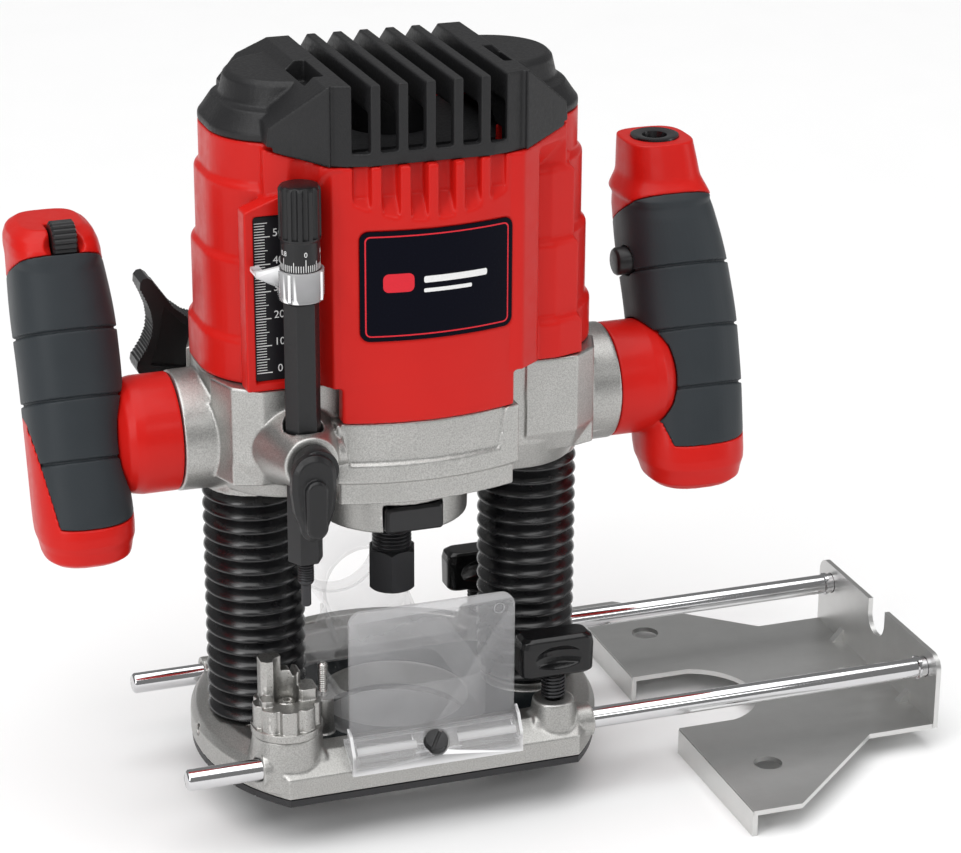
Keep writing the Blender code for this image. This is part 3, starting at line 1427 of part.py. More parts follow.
def right_handle():
    """Right handle, with the switch trigger, its lock button and the cord inlet."""
    core, grip = handle("right", 1, RIGHT_STATIONS)
    x, y, z = 0.1138, (0.2215 - ARM_Z) * HANDLE_LEAN, 0.2215
    turned(
        "cord_inlet",
        [
            (0.0088, z + 0.0022),
            (0.0096, z + 0.0014),
            (0.0096, z + GAP),
            (0.0042, z + GAP),
            (0.0042, z + 0.0022),
        ],
        (x, y, 0),
        finish="black_rubber",
        steps=28,
        closed=True,
    )
    cut(core, cylinder("cord_hole", (x, y, z - 0.008), (x, y, z + 0.01), 0.0042, steps=20))
    trigger_low, trigger_high = 0.1580, 0.1900
    pocket = box(
        "trigger_pocket",
        (0.1085, 0.0145, trigger_low - 0.001),
        (0.1235, 0.0500, trigger_high + 0.001),
    )
    shape = [
        (0.0205, trigger_low),
        (0.0340, trigger_low),
        (0.0372, trigger_low + 0.006),
        (0.0392, trigger_low + 0.016),
        (0.0400, trigger_high - 0.004),
        (0.0380, trigger_high),
        (0.0205, trigger_high),
    ]
    prism("trigger", shape, 0.1090, 0.1230, axis="X", finish="black_plastic")
    button_y = (BUTTON_Z - ARM_Z) * HANDLE_LEAN - 0.0030
    button_hole = cylinder(
        "button_hole",
        (0.0900, button_y, BUTTON_Z),
        (0.1040, button_y, BUTTON_Z),
        0.0058,
        steps=24,
    )
    cut(core, pocket, button_hole)
    cut(grip, pocket, button_hole)
    cylinder(
        "lock_button",
        (0.0920, button_y, BUTTON_Z),
        (0.0995, button_y, BUTTON_Z),
        0.0054,
        "black_plastic",
        steps=24,
    )


# ---------------------------------------------------------------- joints

PLUNGING_PIECES = (
    "motor_bracket motor_housing top_cap badge_plate depth_scale stator lower_bearing upper_bearing"
    " brush_holder_left brush_holder_right column_bush_left column_bush_right handle_left grip_left"
    " handle_right grip_right cord_inlet handle_screw_left handle_screw_right"
)
ROTOR_PIECES = "spindle_shaft armature_core commutator fan collet collet_nut"

# (joint, what carries it, a point on its axis, the pieces that move on it)
JOINT_AXES = (
    ("plunge", None, (0, 0, ARM_Z), PLUNGING_PIECES),
    ("fence_slide", None, (0, 0, ROD_Z), "guide_rod_front guide_rod_rear fence_plate"),
    ("turret_turn", None, (TURRET_X, TURRET_Y, TURRET_BOSS_TOP_Z), "turret"),
    ("clamp_turn_front", None, (CLAMP_X, -ROD_Y, CLAMP_BOSS_TOP_Z), "clamp_knob_front"),
    ("clamp_turn_rear", None, (CLAMP_X, ROD_Y, CLAMP_BOSS_TOP_Z), "clamp_knob_rear"),
    ("spindle_spin", "plunge", (0, 0, NOSE_BOTTOM_Z), ROTOR_PIECES),
    ("spindle_lock_press", "plunge", (0, -0.020, LOCK_Z), "spindle_lock"),
    ("plunge_lever_turn", "plunge", (-COLUMN_X, LEVER_LOW_Y, LEVER_Z), "plunge_lever"),
    ("depth_rod_slide", "plunge", (DEPTH_ROD_X, DEPTH_ROD_Y, DEPTH_BOSS_Z), "depth_rod depth_pointer"),
    ("depth_clamp_turn", "plunge", (DEPTH_ROD_X, DEPTH_CLAMP_Y, DEPTH_BOSS_Z), "depth_clamp"),
    ("fine_adjust_turn", "depth_rod_slide", (DEPTH_ROD_X, DEPTH_ROD_Y, 0.220), "fine_adjust_knob"),
    ("depth_pin_feed", "depth_rod_slide", (DEPTH_ROD_X, DEPTH_ROD_Y, DEPTH_TIP_Z), "depth_pin"),
    ("speed_dial_turn", "plunge", DIAL_CENTRE, "speed_dial"),
    ("trigger_press", "plunge", (0.116, 0.030, 0.174), "trigger"),
    ("lock_button_press", "plunge", (0.096, 0.0097, BUTTON_Z), "lock_button"),
)


def hang_on_axes(root):
    """Puts each moving piece under an empty on its joint's axis, and everything under the root."""
    places = {None: Vector()}
    empties = {None: root}
    for joint, carrier, point, pieces in JOINT_AXES:
        empty = bpy.data.objects.new(joint + "_axis", None)
        bpy.context.scene.collection.objects.link(empty)
        empty.parent = empties[carrier]
        empty.location = Vector(point) - places[carrier]
        places[joint] = Vector(point)
        empties[joint] = empty
        for piece in pieces.split():
            obj = PARTS.objects[piece]
            obj.parent = empty
            obj.matrix_parent_inverse = Matrix.Translation(-Vector(point))
    for obj in (*PARTS.objects, *CUTTERS.objects):
        if obj.parent is None:
            obj.parent = root


def centre_origin():
    """Moves the whole machine so that the origin is below its middle, level with its lowest edge."""
    bpy.context.view_layer.update()
    graph = bpy.context.evaluated_depsgraph_get()
    low = Vector((math.inf,) * 3)
    high = Vector((-math.inf,) * 3)
    for obj in PARTS.objects:
        mesh = obj.evaluated_get(graph).data
        for vertex in mesh.vertices:
            low = Vector(map(min, low, vertex.co))
            high = Vector(map(max, high, vertex.co))
    root = bpy.data.objects.new("machine_frame", None)
    bpy.context.scene.collection.objects.link(root)
    hang_on_axes(root)
    root.location = (-(low.x + high.x) / 2, -(low.y + high.y) / 2, -low.z)


base_casting()
sole_plate()
columns()
bellows()
dust_hood()
chip_guard()
turret()
clamp_knobs()
fence()
motor_bracket()
motor_housing()
badge_plate()
depth_scale()
top_cap()
motor()
spindle_lock()
depth_stop()
plunge_lever()
left_handle()
right_handle()
centre_origin()
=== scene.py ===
import json
import math

import bmesh
import bpy
from mathutils import Matrix, Vector
from mathutils.geometry import tessellate_polygon

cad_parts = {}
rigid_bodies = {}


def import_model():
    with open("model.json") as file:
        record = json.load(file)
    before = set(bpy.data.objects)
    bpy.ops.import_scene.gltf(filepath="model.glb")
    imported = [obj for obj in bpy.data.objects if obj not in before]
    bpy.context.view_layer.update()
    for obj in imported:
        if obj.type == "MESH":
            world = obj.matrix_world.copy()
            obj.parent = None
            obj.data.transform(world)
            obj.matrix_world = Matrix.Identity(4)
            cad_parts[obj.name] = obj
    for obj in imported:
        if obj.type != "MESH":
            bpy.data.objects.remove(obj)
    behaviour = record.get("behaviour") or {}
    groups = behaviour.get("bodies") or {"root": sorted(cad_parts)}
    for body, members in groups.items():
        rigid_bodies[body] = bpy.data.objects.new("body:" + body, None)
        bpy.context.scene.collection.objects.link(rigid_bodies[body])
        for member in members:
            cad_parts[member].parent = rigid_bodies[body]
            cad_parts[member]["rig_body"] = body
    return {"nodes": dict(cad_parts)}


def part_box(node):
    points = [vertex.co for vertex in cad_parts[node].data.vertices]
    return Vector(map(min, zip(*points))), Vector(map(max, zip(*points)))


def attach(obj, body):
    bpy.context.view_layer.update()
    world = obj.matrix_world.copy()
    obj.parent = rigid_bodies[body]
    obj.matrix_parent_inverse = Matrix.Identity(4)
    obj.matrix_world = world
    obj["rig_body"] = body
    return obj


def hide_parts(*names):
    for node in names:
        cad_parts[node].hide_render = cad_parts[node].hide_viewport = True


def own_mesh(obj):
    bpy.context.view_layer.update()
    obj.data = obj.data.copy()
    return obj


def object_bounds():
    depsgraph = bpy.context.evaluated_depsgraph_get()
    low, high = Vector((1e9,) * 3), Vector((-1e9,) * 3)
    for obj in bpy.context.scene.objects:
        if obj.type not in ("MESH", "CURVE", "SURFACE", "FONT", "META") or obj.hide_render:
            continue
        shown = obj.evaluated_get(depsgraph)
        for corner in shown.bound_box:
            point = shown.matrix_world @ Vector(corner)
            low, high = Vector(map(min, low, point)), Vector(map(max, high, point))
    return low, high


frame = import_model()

# Plunge router with its side fence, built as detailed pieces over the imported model.
# Shapes are drawn in metres in the machine's own frame: spindle on the Z axis, sole on z = 0,
# fence towards +X, chip guard towards -Y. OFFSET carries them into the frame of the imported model.

CAD_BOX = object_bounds()

shaft_low, shaft_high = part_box("spindle_shaft")
OFFSET = Vector(
    (
        (shaft_low.x + shaft_high.x) / 2, (shaft_low.y + shaft_high.y) / 2,
        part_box("sole_plate")[0].z,
    )
)

GAP = 0.0003

SOLE_THICKNESS = 0.0026
BASE_RADIUS = 0.078
BASE_FRONT_Y = -0.0535
BASE_SLOPE_Y = -0.0440
BASE_OPENING_RADIUS = 0.0285
BASE_EDGE_Z = 0.011
BASE_RIM_Z = 0.0175
BASE_FLOOR_Z = 0.013
SOCKET_TOP_Z = 0.0165

COLUMN_X = 0.054
SLEEVE_RADIUS = 0.0187
SLEEVE_BOTTOM_Z = 0.110
BELLOWS_RADIUS = 0.01875
BELLOWS_RINGS = 17

ROD_Y = 0.0425
ROD_Z = 0.012
ROD_RADIUS = 0.004
ROD_LEFT_X = -0.093
CLAMP_X = 0.050
CLAMP_BOSS_TOP_Z = 0.0235

TURRET_X = -0.053
TURRET_Y = -0.0375
TURRET_RADIUS = 0.0126
TURRET_BOSS_TOP_Z = 0.0243
TURRET_RING_TOP_Z = 0.0365

DEPTH_ROD_X = -0.047
DEPTH_ROD_Y = -0.0455
DEPTH_ROD_FLATS = 0.0114
DEPTH_ROD_BOTTOM_Z = 0.095
DEPTH_TIP_Z = 0.077
DEPTH_PIN_RADIUS = 0.0030
DEPTH_BOSS_Z = 0.1355
DEPTH_CLAMP_Y = -0.0562

ARM_Z = 0.1325
ARM_RADIUS = 0.0222
ARM_END_X = 0.084

BRACKET_BOTTOM_Z = 0.113
BRACKET_TOP_Z = 0.1577
FRONT_SPLIT_Z = 0.1444
HOUSING_HALF_X = 0.0742
HOUSING_HALF_Y = 0.0370
HOUSING_CORNER = 0.0320
HOUSING_TOP_Z = 0.2455
FRONT_ARC_RADIUS = 0.098
FRONT_Y = 0.0508
FRONT_HALF_X = 0.0325
CAP_FRONT_BOTTOM_Z = 0.2395
CAP_TOP_Z = 0.268
TIER_STEPS_Z = (0.1730, 0.2020, 0.2290)
TIER_INSET = 0.0018
SLOT_PITCH = 0.010
SLOT_WIDTH = 0.0062
SLOT_COUNT = 6
SLOT_XS = [(i - (SLOT_COUNT - 1) / 2) * SLOT_PITCH for i in range(SLOT_COUNT)]

LEVER_Z = 0.146
LEVER_LOW_Y = 0.0400
LEVER_HIGH_Y = 0.0520

NOSE_RADIUS = 0.029
NOSE_BOTTOM_Z = 0.092
SPINDLE_RADIUS = 0.0075
SPINDLE_BOTTOM_Z = 0.068
NUT_BOTTOM_Z = 0.0590
NUT_TOP_Z = 0.0755
NUT_FLATS = 0.0170

HANDLE_LEAN = 0.296
GRIP_TOP_Z = 0.193
GRIP_THICKNESS = 0.0030
GROOVES_Z = (0.1255, 0.1470, 0.1700)

SHEET = 0.002
FENCE_TOP_Z = -0.0085
FENCE_LEFT_X = 0.110
FENCE_FLANGE_X = 0.2065
FENCE_HALF_Y = 0.096
FENCE_FLANGE_HALF_Y = 0.053
FENCE_LIP_BOTTOM_Z = -0.0192
FENCE_FLANGE_TOP_Z = 0.020

SIDES = (("left", -1), ("right", 1))
ENDS = (("front", -1), ("rear", 1))


# ---------------------------------------------------------------- shape helpers

WORKSHOP = bpy.data.collections.new("workshop")
bpy.context.scene.collection.children.link(WORKSHOP)


def raw(name, mesh):
    """A shape on the bench: it becomes part of a piece, or cuts one, and is cleared away after."""
    obj = bpy.data.objects.new("raw_" + name, mesh)
    WORKSHOP.objects.link(obj)
    return obj


def mesh_from(bm, name):
    """The mesh that bm holds, its faces turned outwards. It frees bm."""
    bmesh.ops.recalc_face_normals(bm, faces=bm.faces)
    mesh = bpy.data.meshes.new(name)
    bm.to_mesh(mesh)
    bm.free()
    return mesh


def box(name, low, high):
    """A block between its low and high corners."""
    low, high = Vector(low), Vector(high)
    bm = bmesh.new()
    bmesh.ops.create_cube(bm, size=1.0)
    bmesh.ops.scale(bm, vec=high - low, verts=bm.verts)
    bmesh.ops.translate(bm, vec=(low + high) / 2, verts=bm.verts)
    return raw(name, mesh_from(bm, name))


def cylinder(name, start, end, radius, end_radius=None, steps=48):
    """A cylinder or cone from one point to another."""
    start, end = Vector(start), Vector(end)
    along = end - start
    turn = Vector((0, 0, 1)).rotation_difference(along).to_matrix().to_4x4()
    bm = bmesh.new()
    bmesh.ops.create_cone(
        bm,
        cap_ends=True,
        segments=steps,
        radius1=radius,
        radius2=radius if end_radius is None else end_radius,
        depth=along.length,
        matrix=Matrix.Translation((start + end) / 2) @ turn,
    )
    return raw(name, mesh_from(bm, name))


def upright(name, x, y, low, high, radius, end_radius=None, steps=48):
    """A vertical cylinder or cone at (x, y), from height low to high."""
    return cylinder(name, (x, y, low), (x, y, high), radius, end_radius, steps)


def turned(name, profile, centre=(0, 0, 0), steps=64, closed=False):
    """A shape turned about the vertical through centre, from (radius, height) points, top to bottom."""
    bm = bmesh.new()
    loops = []
    for radius, height in profile:
        if radius < 1e-7:
            loops.append([bm.verts.new((centre[0], centre[1], centre[2] + height))])
            continue
        loop = []
        for i in range(steps):
            angle = 2 * math.pi * i / steps
            x = centre[0] + radius * math.cos(angle)
            y = centre[1] + radius * math.sin(angle)
            loop.append(bm.verts.new((x, y, centre[2] + height)))
        loops.append(loop)
    pairs = list(zip(loops, loops[1:]))
    if closed:
        pairs.append((loops[-1], loops[0]))
    for upper, lower in pairs:
        for i in range(steps):
            j = (i + 1) % steps
            if len(upper) == 1:
                bm.faces.new((upper[0], lower[i], lower[j]))
            elif len(lower) == 1:
                bm.faces.new((upper[i], lower[0], upper[j]))
            else:
                bm.faces.new((upper[i], lower[i], lower[j], upper[j]))
    return raw(name, mesh_from(bm, name))


AXIS_FRAMES = {
    "X": Matrix(((0, 0, 1), (1, 0, 0), (0, 1, 0))),
    "Y": Matrix(((1, 0, 0), (0, 0, -1), (0, 1, 0))),
    "Z": Matrix.Identity(3),
}


def evaluated_mesh(obj):
    """A new mesh of obj with its modifiers applied."""
    bpy.context.view_layer.update()
    graph = bpy.context.evaluated_depsgraph_get()
    return bpy.data.meshes.new_from_object(obj.evaluated_get(graph))


def settled(guide, name):
    """The mesh of a curve or text object, welded and facing out."""
    mesh = bpy.data.meshes.new_from_object(guide)
    mesh.transform(guide.matrix_basis)
    bpy.data.objects.remove(guide)
    bm = bmesh.new()
    bm.from_mesh(mesh)
    bmesh.ops.remove_doubles(bm, verts=bm.verts, dist=1e-6)
    return raw(name, mesh_from(bm, name))


def prism(name, outline, low, high, axis="Z", holes=()):
    """A flat outline drawn out along an axis from low to high; the outline uses the other two axes."""
    turn = AXIS_FRAMES[axis]
    loops = [[Vector((u, v, 0)) for u, v in loop] for loop in (outline, *holes)]
    flat = [point for loop in loops for point in loop]
    bm = bmesh.new()
    layers = []
    for level in (-1, 1):
        bottom, top = (-high, -low) if axis == "Y" else (low, high)
        rise = Vector((0, 0, bottom if level < 0 else top))
        layers.append([bm.verts.new(turn @ (point + rise)) for point in flat])
    for layer in layers:
        if holes:
            for corners in tessellate_polygon(loops):
                bm.faces.new([layer[i] for i in corners])
        else:
            bm.faces.new(layer)
    first = 0
    for loop in loops:
        for i in range(len(loop)):
            j = (i + 1) % len(loop)
            a, b = first + i, first + j
            bm.faces.new((layers[0][a], layers[0][b], layers[1][b], layers[1][a]))
        first += len(loop)
    return raw(name, mesh_from(bm, name))


def loft(name, rings):
    """A skin drawn over rings of points, with its two ends closed."""
    bm = bmesh.new()
    loops = [[bm.verts.new(point) for point in points] for points in rings]
    for lower, upper in zip(loops, loops[1:]):
        for i in range(len(lower)):
            j = (i + 1) % len(lower)
            bm.faces.new((lower[i], lower[j], upper[j], upper[i]))
    bm.faces.new(loops[0])
    bm.faces.new(loops[-1])
    return raw(name, mesh_from(bm, name))


def coil(name, centre, radius, low, high, turns, wire, points_per_turn=32):
    """A compression spring round the vertical through centre: a plain helix between low and high."""
    curve = bpy.data.curves.new(name, "CURVE")
    curve.dimensions = "3D"
    curve.bevel_depth = wire / 2
    curve.bevel_resolution = 3
    curve.use_fill_caps = True
    count = turns * points_per_turn
    spline = curve.splines.new("POLY")
    spline.points.add(count)
    for i, point in enumerate(spline.points):
        angle = 2 * math.pi * i / points_per_turn
        height = low + wire / 2 + (high - low - wire) * i / count
        x = centre[0] + radius * math.cos(angle)
        y = centre[1] + radius * math.sin(angle)
        point.co = (x, y, height, 1)
    return settled(bpy.data.objects.new(name + "_path", curve), name)


def digits(name, text, height, depth):
    """Flat raised figures, their middle on the origin, reading along X with Z up, facing -Y."""
    font = bpy.data.curves.new(name, "FONT")
    font.body = text
    font.size = height * 1.37
    font.extrude = depth / 2
    font.resolution_u = 3
    font.align_x = "CENTER"
    font.align_y = "CENTER"
    guide = bpy.data.objects.new(name + "_text", font)
    guide.rotation_euler = (math.pi / 2, 0, 0)
    return settled(guide, name)


def boolean(obj, other, operation):
    """Adds an exact boolean of obj with another shape."""
    modifier = obj.modifiers.new(other.name, "BOOLEAN")
    modifier.operation = operation
    modifier.object = other
    modifier.solver = "EXACT"


def cut(obj, *others):
    """Takes the other shapes away from obj."""
    for other in others:
        boolean(obj, other, "DIFFERENCE")


def join(obj, *others):
    """Adds the other shapes to obj."""
    for other in others:
        boolean(obj, other, "UNION")


def arc(centre, radius, start, end, steps):
    """Points on an arc, with its angles in degrees from +U."""
    points = []
    for i in range(steps + 1):
        angle = math.radians(start + (end - start) * i / steps)
        points.append((centre[0] + radius * math.cos(angle), centre[1] + radius * math.sin(angle)))
    return points


def rounded_rectangle(half_u, half_v, radius, steps=8, centre=(0, 0)):
    """Outline of a rectangle with round corners."""
    points = []
    for side_u, side_v, start in ((1, 1, 0), (-1, 1, 90), (-1, -1, 180), (1, -1, 270)):
        corner = (
            centre[0] + side_u * (half_u - radius),
            centre[1] + side_v * (half_v - radius),
        )
        points += arc(corner, radius, start, start + 90, steps)
    return points


def polygon(centre, radius, count, start=0.0):
    """Regular outline with count corners on a circle."""
    return arc(centre, radius, start, start + 360 * (count - 1) / count, count - 1)


def at_height(points, z):
    """A flat outline as points at height z."""
    return [(x, y, z) for x, y in points]


def span(side, near, far):
    """The two X or Y limits, low then high, of something between near and far on one side."""
    return sorted((side * near, side * far))


# ---------------------------------------------------------------- finishing a piece


def soften(obj, voxel, rounds, keep):
    """Evens the surface out on a fine grid and rounds its edges, as a casting or moulding has them."""
    grid = obj.modifiers.new("grid", "REMESH")
    grid.mode = "VOXEL"
    grid.voxel_size = voxel * 1
    relax = obj.modifiers.new("relax", "SMOOTH")
    relax.factor = 0.5
    relax.iterations = max(1, rounds // (1))
    if keep < 1:
        thin = obj.modifiers.new("thin", "DECIMATE")
        thin.ratio = keep


# Edges sharper than this are drawn sharp: on bevelled pieces a lower limit keeps their flats flat.
PLAIN_CREASE = math.radians(38)
BEVEL_CREASE = math.radians(20)


def bevelled(obj, width):
    """Welds the shape and bevels its sharp edges."""
    weld = obj.modifiers.new("weld", "WELD")
    weld.merge_threshold = 0.00002
    edge = obj.modifiers.new("edge", "BEVEL")
    edge.width = width
    edge.segments = 2
    edge.limit_method = "ANGLE"
    edge.angle_limit = math.radians(35)
    edge.use_clamp_overlap = True


def finish_piece(name, obj, material, nodes=(), body=None, grid=None, bevel=None):
    """Makes the piece from the shape on the bench, gives it its material and ties it to its body."""
    if grid:
        soften(obj, *grid)
    if bevel:
        bevelled(obj, bevel)
    mesh = evaluated_mesh(obj)
    for item in list(WORKSHOP.objects):
        bpy.data.meshes.remove(item.data)
    mesh.transform(Matrix.Translation(OFFSET))
    mesh.materials.clear()
    mesh.materials.append(MATERIALS[material])
    mesh.shade_smooth()
    if not grid:
        mesh.set_sharp_from_angle(angle=BEVEL_CREASE if bevel else PLAIN_CREASE)
    piece = bpy.data.objects.new(name, mesh)
    bpy.context.scene.collection.objects.link(piece)
    if bevel:
        piece.modifiers.new("flat_faces", "WEIGHTED_NORMAL").keep_sharp = True
    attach(piece, body or frame["nodes"][nodes[0]]["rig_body"])
    if nodes:
        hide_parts(*nodes)
    return piece


def combined(name, shapes):
    """Several plain shapes on the bench as one, with no boolean between them."""
    bm = bmesh.new()
    for shape in shapes:
        bm.from_mesh(shape.data)
    return raw(name, mesh_from(bm, name))


# ---------------------------------------------------------------- materials


def colour_sockets(node):
    """A mix node holds one set of sockets for each kind of value; these are its colour ones."""
    inputs = [socket for socket in node.inputs if socket.type == "RGBA"]
    output = next(socket for socket in node.outputs if socket.type == "RGBA")
    return inputs[0], inputs[1], output


class Surface:
    """A Principled material with textures laid in the object's own metres."""

    def __init__(self, name, **sockets):
        self.material = bpy.data.materials.new(name)
        self.material.use_nodes = True
        self.nodes = self.material.node_tree.nodes
        self.links = self.material.node_tree.links
        self.shader = self.nodes["Principled BSDF"]
        self.place = self.nodes.new("ShaderNodeTexCoord").outputs["Object"]
        for socket, value in sockets.items():
            self.shader.inputs[socket.replace("_", " ")].default_value = value

    def noise(self, size, detail=3.0, stretch=(1, 1, 1)):
        """Noise whose features are about size metres across, drawn out where stretch is over 1."""
        mapping = self.nodes.new("ShaderNodeMapping")
        mapping.inputs["Scale"].default_value = [1 / size / s for s in stretch]
        texture = self.nodes.new("ShaderNodeTexNoise")
        texture.inputs["Scale"].default_value = 1.0
        texture.inputs["Detail"].default_value = detail
        self.links.new(self.place, mapping.inputs["Vector"])
        self.links.new(mapping.outputs["Vector"], texture.inputs["Vector"])
        return texture.outputs["Fac"]

    def cells(self, size):
        mapping = self.nodes.new("ShaderNodeMapping")
        mapping.inputs["Scale"].default_value = [1 / size] * 3
        texture = self.nodes.new("ShaderNodeTexVoronoi")
        texture.inputs["Scale"].default_value = 1.0
        self.links.new(self.place, mapping.inputs["Vector"])
        self.links.new(mapping.outputs["Vector"], texture.inputs["Vector"])
        return texture.outputs["Distance"]

    def edges(self, low=0.51, high=0.60):
        """One on sharp outer edges and nought on flats: worn edges on castings and black plastic, a painted
        highlight on clear plastic.
        """
        geometry = self.nodes.new("ShaderNodeNewGeometry")
        return self.spread(geometry.outputs["Pointiness"], low, high, 0.0, 1.0)

    def spread(self, value, from_low, from_high, to_low, to_high):
        node = self.nodes.new("ShaderNodeMapRange")
        node.inputs["From Min"].default_value = from_low
        node.inputs["From Max"].default_value = from_high
        node.inputs["To Min"].default_value = to_low
        node.inputs["To Max"].default_value = to_high
        self.links.new(value, node.inputs["Value"])
        return node.outputs["Result"]

    def blend(self, value, first, second):
        """A colour between two colours or links."""
        node = self.nodes.new("ShaderNodeMix")
        node.data_type = "RGBA"
        self.links.new(value, node.inputs["Factor"])
        first_socket, second_socket, result = colour_sockets(node)
        for socket, colour in ((first_socket, first), (second_socket, second)):
            if isinstance(colour, tuple):
                socket.default_value = (*colour, 1)
            else:
                self.links.new(colour, socket)
        return result

    def colour(self, value):
        self.links.new(value, self.shader.inputs["Base Color"])

    def roughness(self, value, low, high):
        self.links.new(self.spread(value, 0.3, 0.7, low, high), self.shader.inputs["Roughness"])

    def bump(self, *layers):
        """Relief from (height link, depth in metres, strength) layers."""
        normal = None
        for height, depth, strength in layers:
            node = self.nodes.new("ShaderNodeBump")
            node.inputs["Distance"].default_value = depth
            node.inputs["Strength"].default_value = strength
            self.links.new(height, node.inputs["Height"])
            if normal:
                self.links.new(normal, node.inputs["Normal"])
            normal = node.outputs["Normal"]
        self.links.new(normal, self.shader.inputs["Normal"])


def cast_metal(name, dark, light, grain, low, high):
    """Shot-blasted casting: speckled grain, cloudy tone, and edges rubbed brighter."""
    surface = Surface(name, Metallic=0.92)
    speckle = surface.noise(grain, 4.0)
    clouds = surface.noise(0.018, 2.0)
    tone = surface.blend(surface.spread(speckle, 0.35, 0.65, 0, 1), dark, light)
    shade = surface.blend(surface.spread(clouds, 0.3, 0.7, 0, 0.35), tone, dark)
    worn = tuple(min(1.0, c * 1.22) for c in light)
    surface.colour(surface.blend(surface.edges(), shade, worn))
    surface.roughness(speckle, low, high)
    surface.bump((speckle, 0.00010, 0.45), (surface.cells(grain * 2.2), 0.00005, 0.25))
    return surface.material


def red_plastic():
    """Glass-filled nylon, moulded smooth, with a faint orange-peel skin."""
    surface = Surface("red_plastic", Coat_Weight=0.04, Coat_Roughness=0.12, Specular_IOR_Level=0.18)
    clouds = surface.noise(0.030, 2.0)
    skin = surface.noise(0.0009, 3.0)
    surface.colour(surface.blend(clouds, (0.520, 0.0080, 0.0060), (0.590, 0.0130, 0.0085)))
    surface.roughness(surface.noise(0.004, 4.0), 0.30, 0.42)
    surface.bump((skin, 0.00004, 0.35), (surface.noise(0.006, 1.0), 0.0001, 0.12))
    return surface.material


def black_plastic(name, tone, low, high, depth):
    """Moulded black nylon with a spark-eroded texture, its edges polished grey by handling."""
    surface = Surface(name, Specular_IOR_Level=0.35)
    texture = surface.noise(0.00045, 3.0)
    clouds = surface.noise(0.012, 3.0)
    base = surface.blend(clouds, (tone, tone, tone * 1.08), (tone * 1.5, tone * 1.5, tone * 1.62))
    worn = (tone * 3.0, tone * 3.0, tone * 3.2)
    surface.colour(surface.blend(surface.edges(0.53, 0.66), base, worn))
    surface.roughness(surface.noise(0.0012, 3.0), low, high)
    surface.bump((texture, depth, 0.5), (surface.cells(0.0007), depth, 0.3))
    return surface.material


def grey_rubber():
    """Soft overmoulded grip: matt blue-grey with a fine stipple and slight polish in patches."""
    surface = Surface("grey_rubber", Sheen_Weight=0.06, Sheen_Roughness=0.4, Specular_IOR_Level=0.32)
    clouds = surface.noise(0.020, 3.0)
    surface.colour(surface.blend(clouds, (0.017, 0.022, 0.026), (0.026, 0.032, 0.037)))
    surface.roughness(clouds, 0.46, 0.62)
    surface.bump((surface.noise(0.0005, 2.0), 0.00005, 0.45), (surface.noise(0.003, 2.0), 0.00006, 0.2))
    return surface.material


def black_rubber():
    """Glossy moulded rubber of the bellows, with a faint cloudy mould bloom."""
    surface = Surface("black_rubber", Specular_IOR_Level=0.6)
    clouds = surface.noise(0.010, 4.0)
    surface.colour(surface.blend(clouds, (0.0045, 0.0045, 0.0055), (0.0065, 0.0065, 0.0075)))
    surface.roughness(surface.noise(0.004, 2.0), 0.24, 0.28)
    surface.bump((surface.noise(0.0012, 2.0), 0.000005, 0.05),)
    return surface.material


def polished_metal(name, tone, low, high, stretch, base=1.0):
    """Drawn or ground metal with fine lines along its length."""
    surface = Surface(name, Metallic=base)
    lines = surface.noise(0.00022, 3.0, stretch)
    haze = surface.noise(0.008, 3.0)
    surface.colour(surface.blend(haze, tuple(c * 0.90 for c in tone), tone))
    surface.roughness(lines, low, high)
    surface.bump((lines, 0.00001, 0.30),)
    return surface.material


def clear_plastic(name, low, high, edge_highlight):
    """Thin clear polycarbonate: a faint grey veil, with a painted highlight along moulded edges and ribs."""
    surface = Surface(name, IOR=1.45, Specular_IOR_Level=0.6)
    haze = surface.noise(0.010, 3.0)
    milk = surface.blend(haze, (0.40, 0.40, 0.41), (0.46, 0.46, 0.47))
    # Painted highlight: the colour turns near white along sharp edges and ribs.
    surface.colour(surface.blend(surface.edges(0.515, 0.58), milk, (0.96, 0.96, 0.97)))
    surface.roughness(haze, 0.10, 0.14)
    surface.bump((surface.noise(0.020, 1.0), 0.00002, 0.05),)
    # The alpha is raised along sharp edges too, as part of the same painted highlight.
    veil = surface.spread(haze, 0.3, 0.7, low, high)
    edge = surface.edges(0.515, 0.60)
    total = surface.nodes.new("ShaderNodeMath")
    total.operation = "MULTIPLY_ADD"
    total.use_clamp = True
    total.inputs[1].default_value = edge_highlight
    surface.links.new(edge, total.inputs[0])
    surface.links.new(veil, total.inputs[2])
    surface.links.new(total.outputs[0], surface.shader.inputs["Alpha"])
    return surface.material


def printed(name, tone, gloss, shine=0.2):
    """Screen-printed ink, slightly uneven; also the dark painted shade of the disc on the base floor."""
    surface = Surface(name, Specular_IOR_Level=shine)
    specks = surface.noise(0.0006, 3.0)
    surface.colour(surface.blend(specks, tuple(c * 0.86 for c in tone), tone))
    surface.roughness(specks, gloss, gloss + 0.14)
    surface.bump((specks, 0.00002, 0.3),)
    return surface.material


def laminated_steel():
    """A stack of thin stampings, seen edge on."""
    surface = Surface("laminated_steel", Metallic=0.9)
    sheets = surface.noise(0.0005, 1.0, (40, 40, 1))
    surface.colour(surface.blend(sheets, (0.09, 0.09, 0.10), (0.30, 0.29, 0.28)))
    surface.roughness(surface.noise(0.002), 0.35, 0.60)
    surface.bump((sheets, 0.0001, 0.5),)
    return surface.material


def floor_paint():
    """Matt white of the studio floor."""
    surface = Surface("studio_floor", Specular_IOR_Level=0.2)
    surface.colour(surface.blend(surface.noise(0.4, 2.0), (0.90, 0.90, 0.90), (0.93, 0.93, 0.93)))
    surface.roughness(surface.noise(0.05), 0.70, 0.85)
    return surface.material


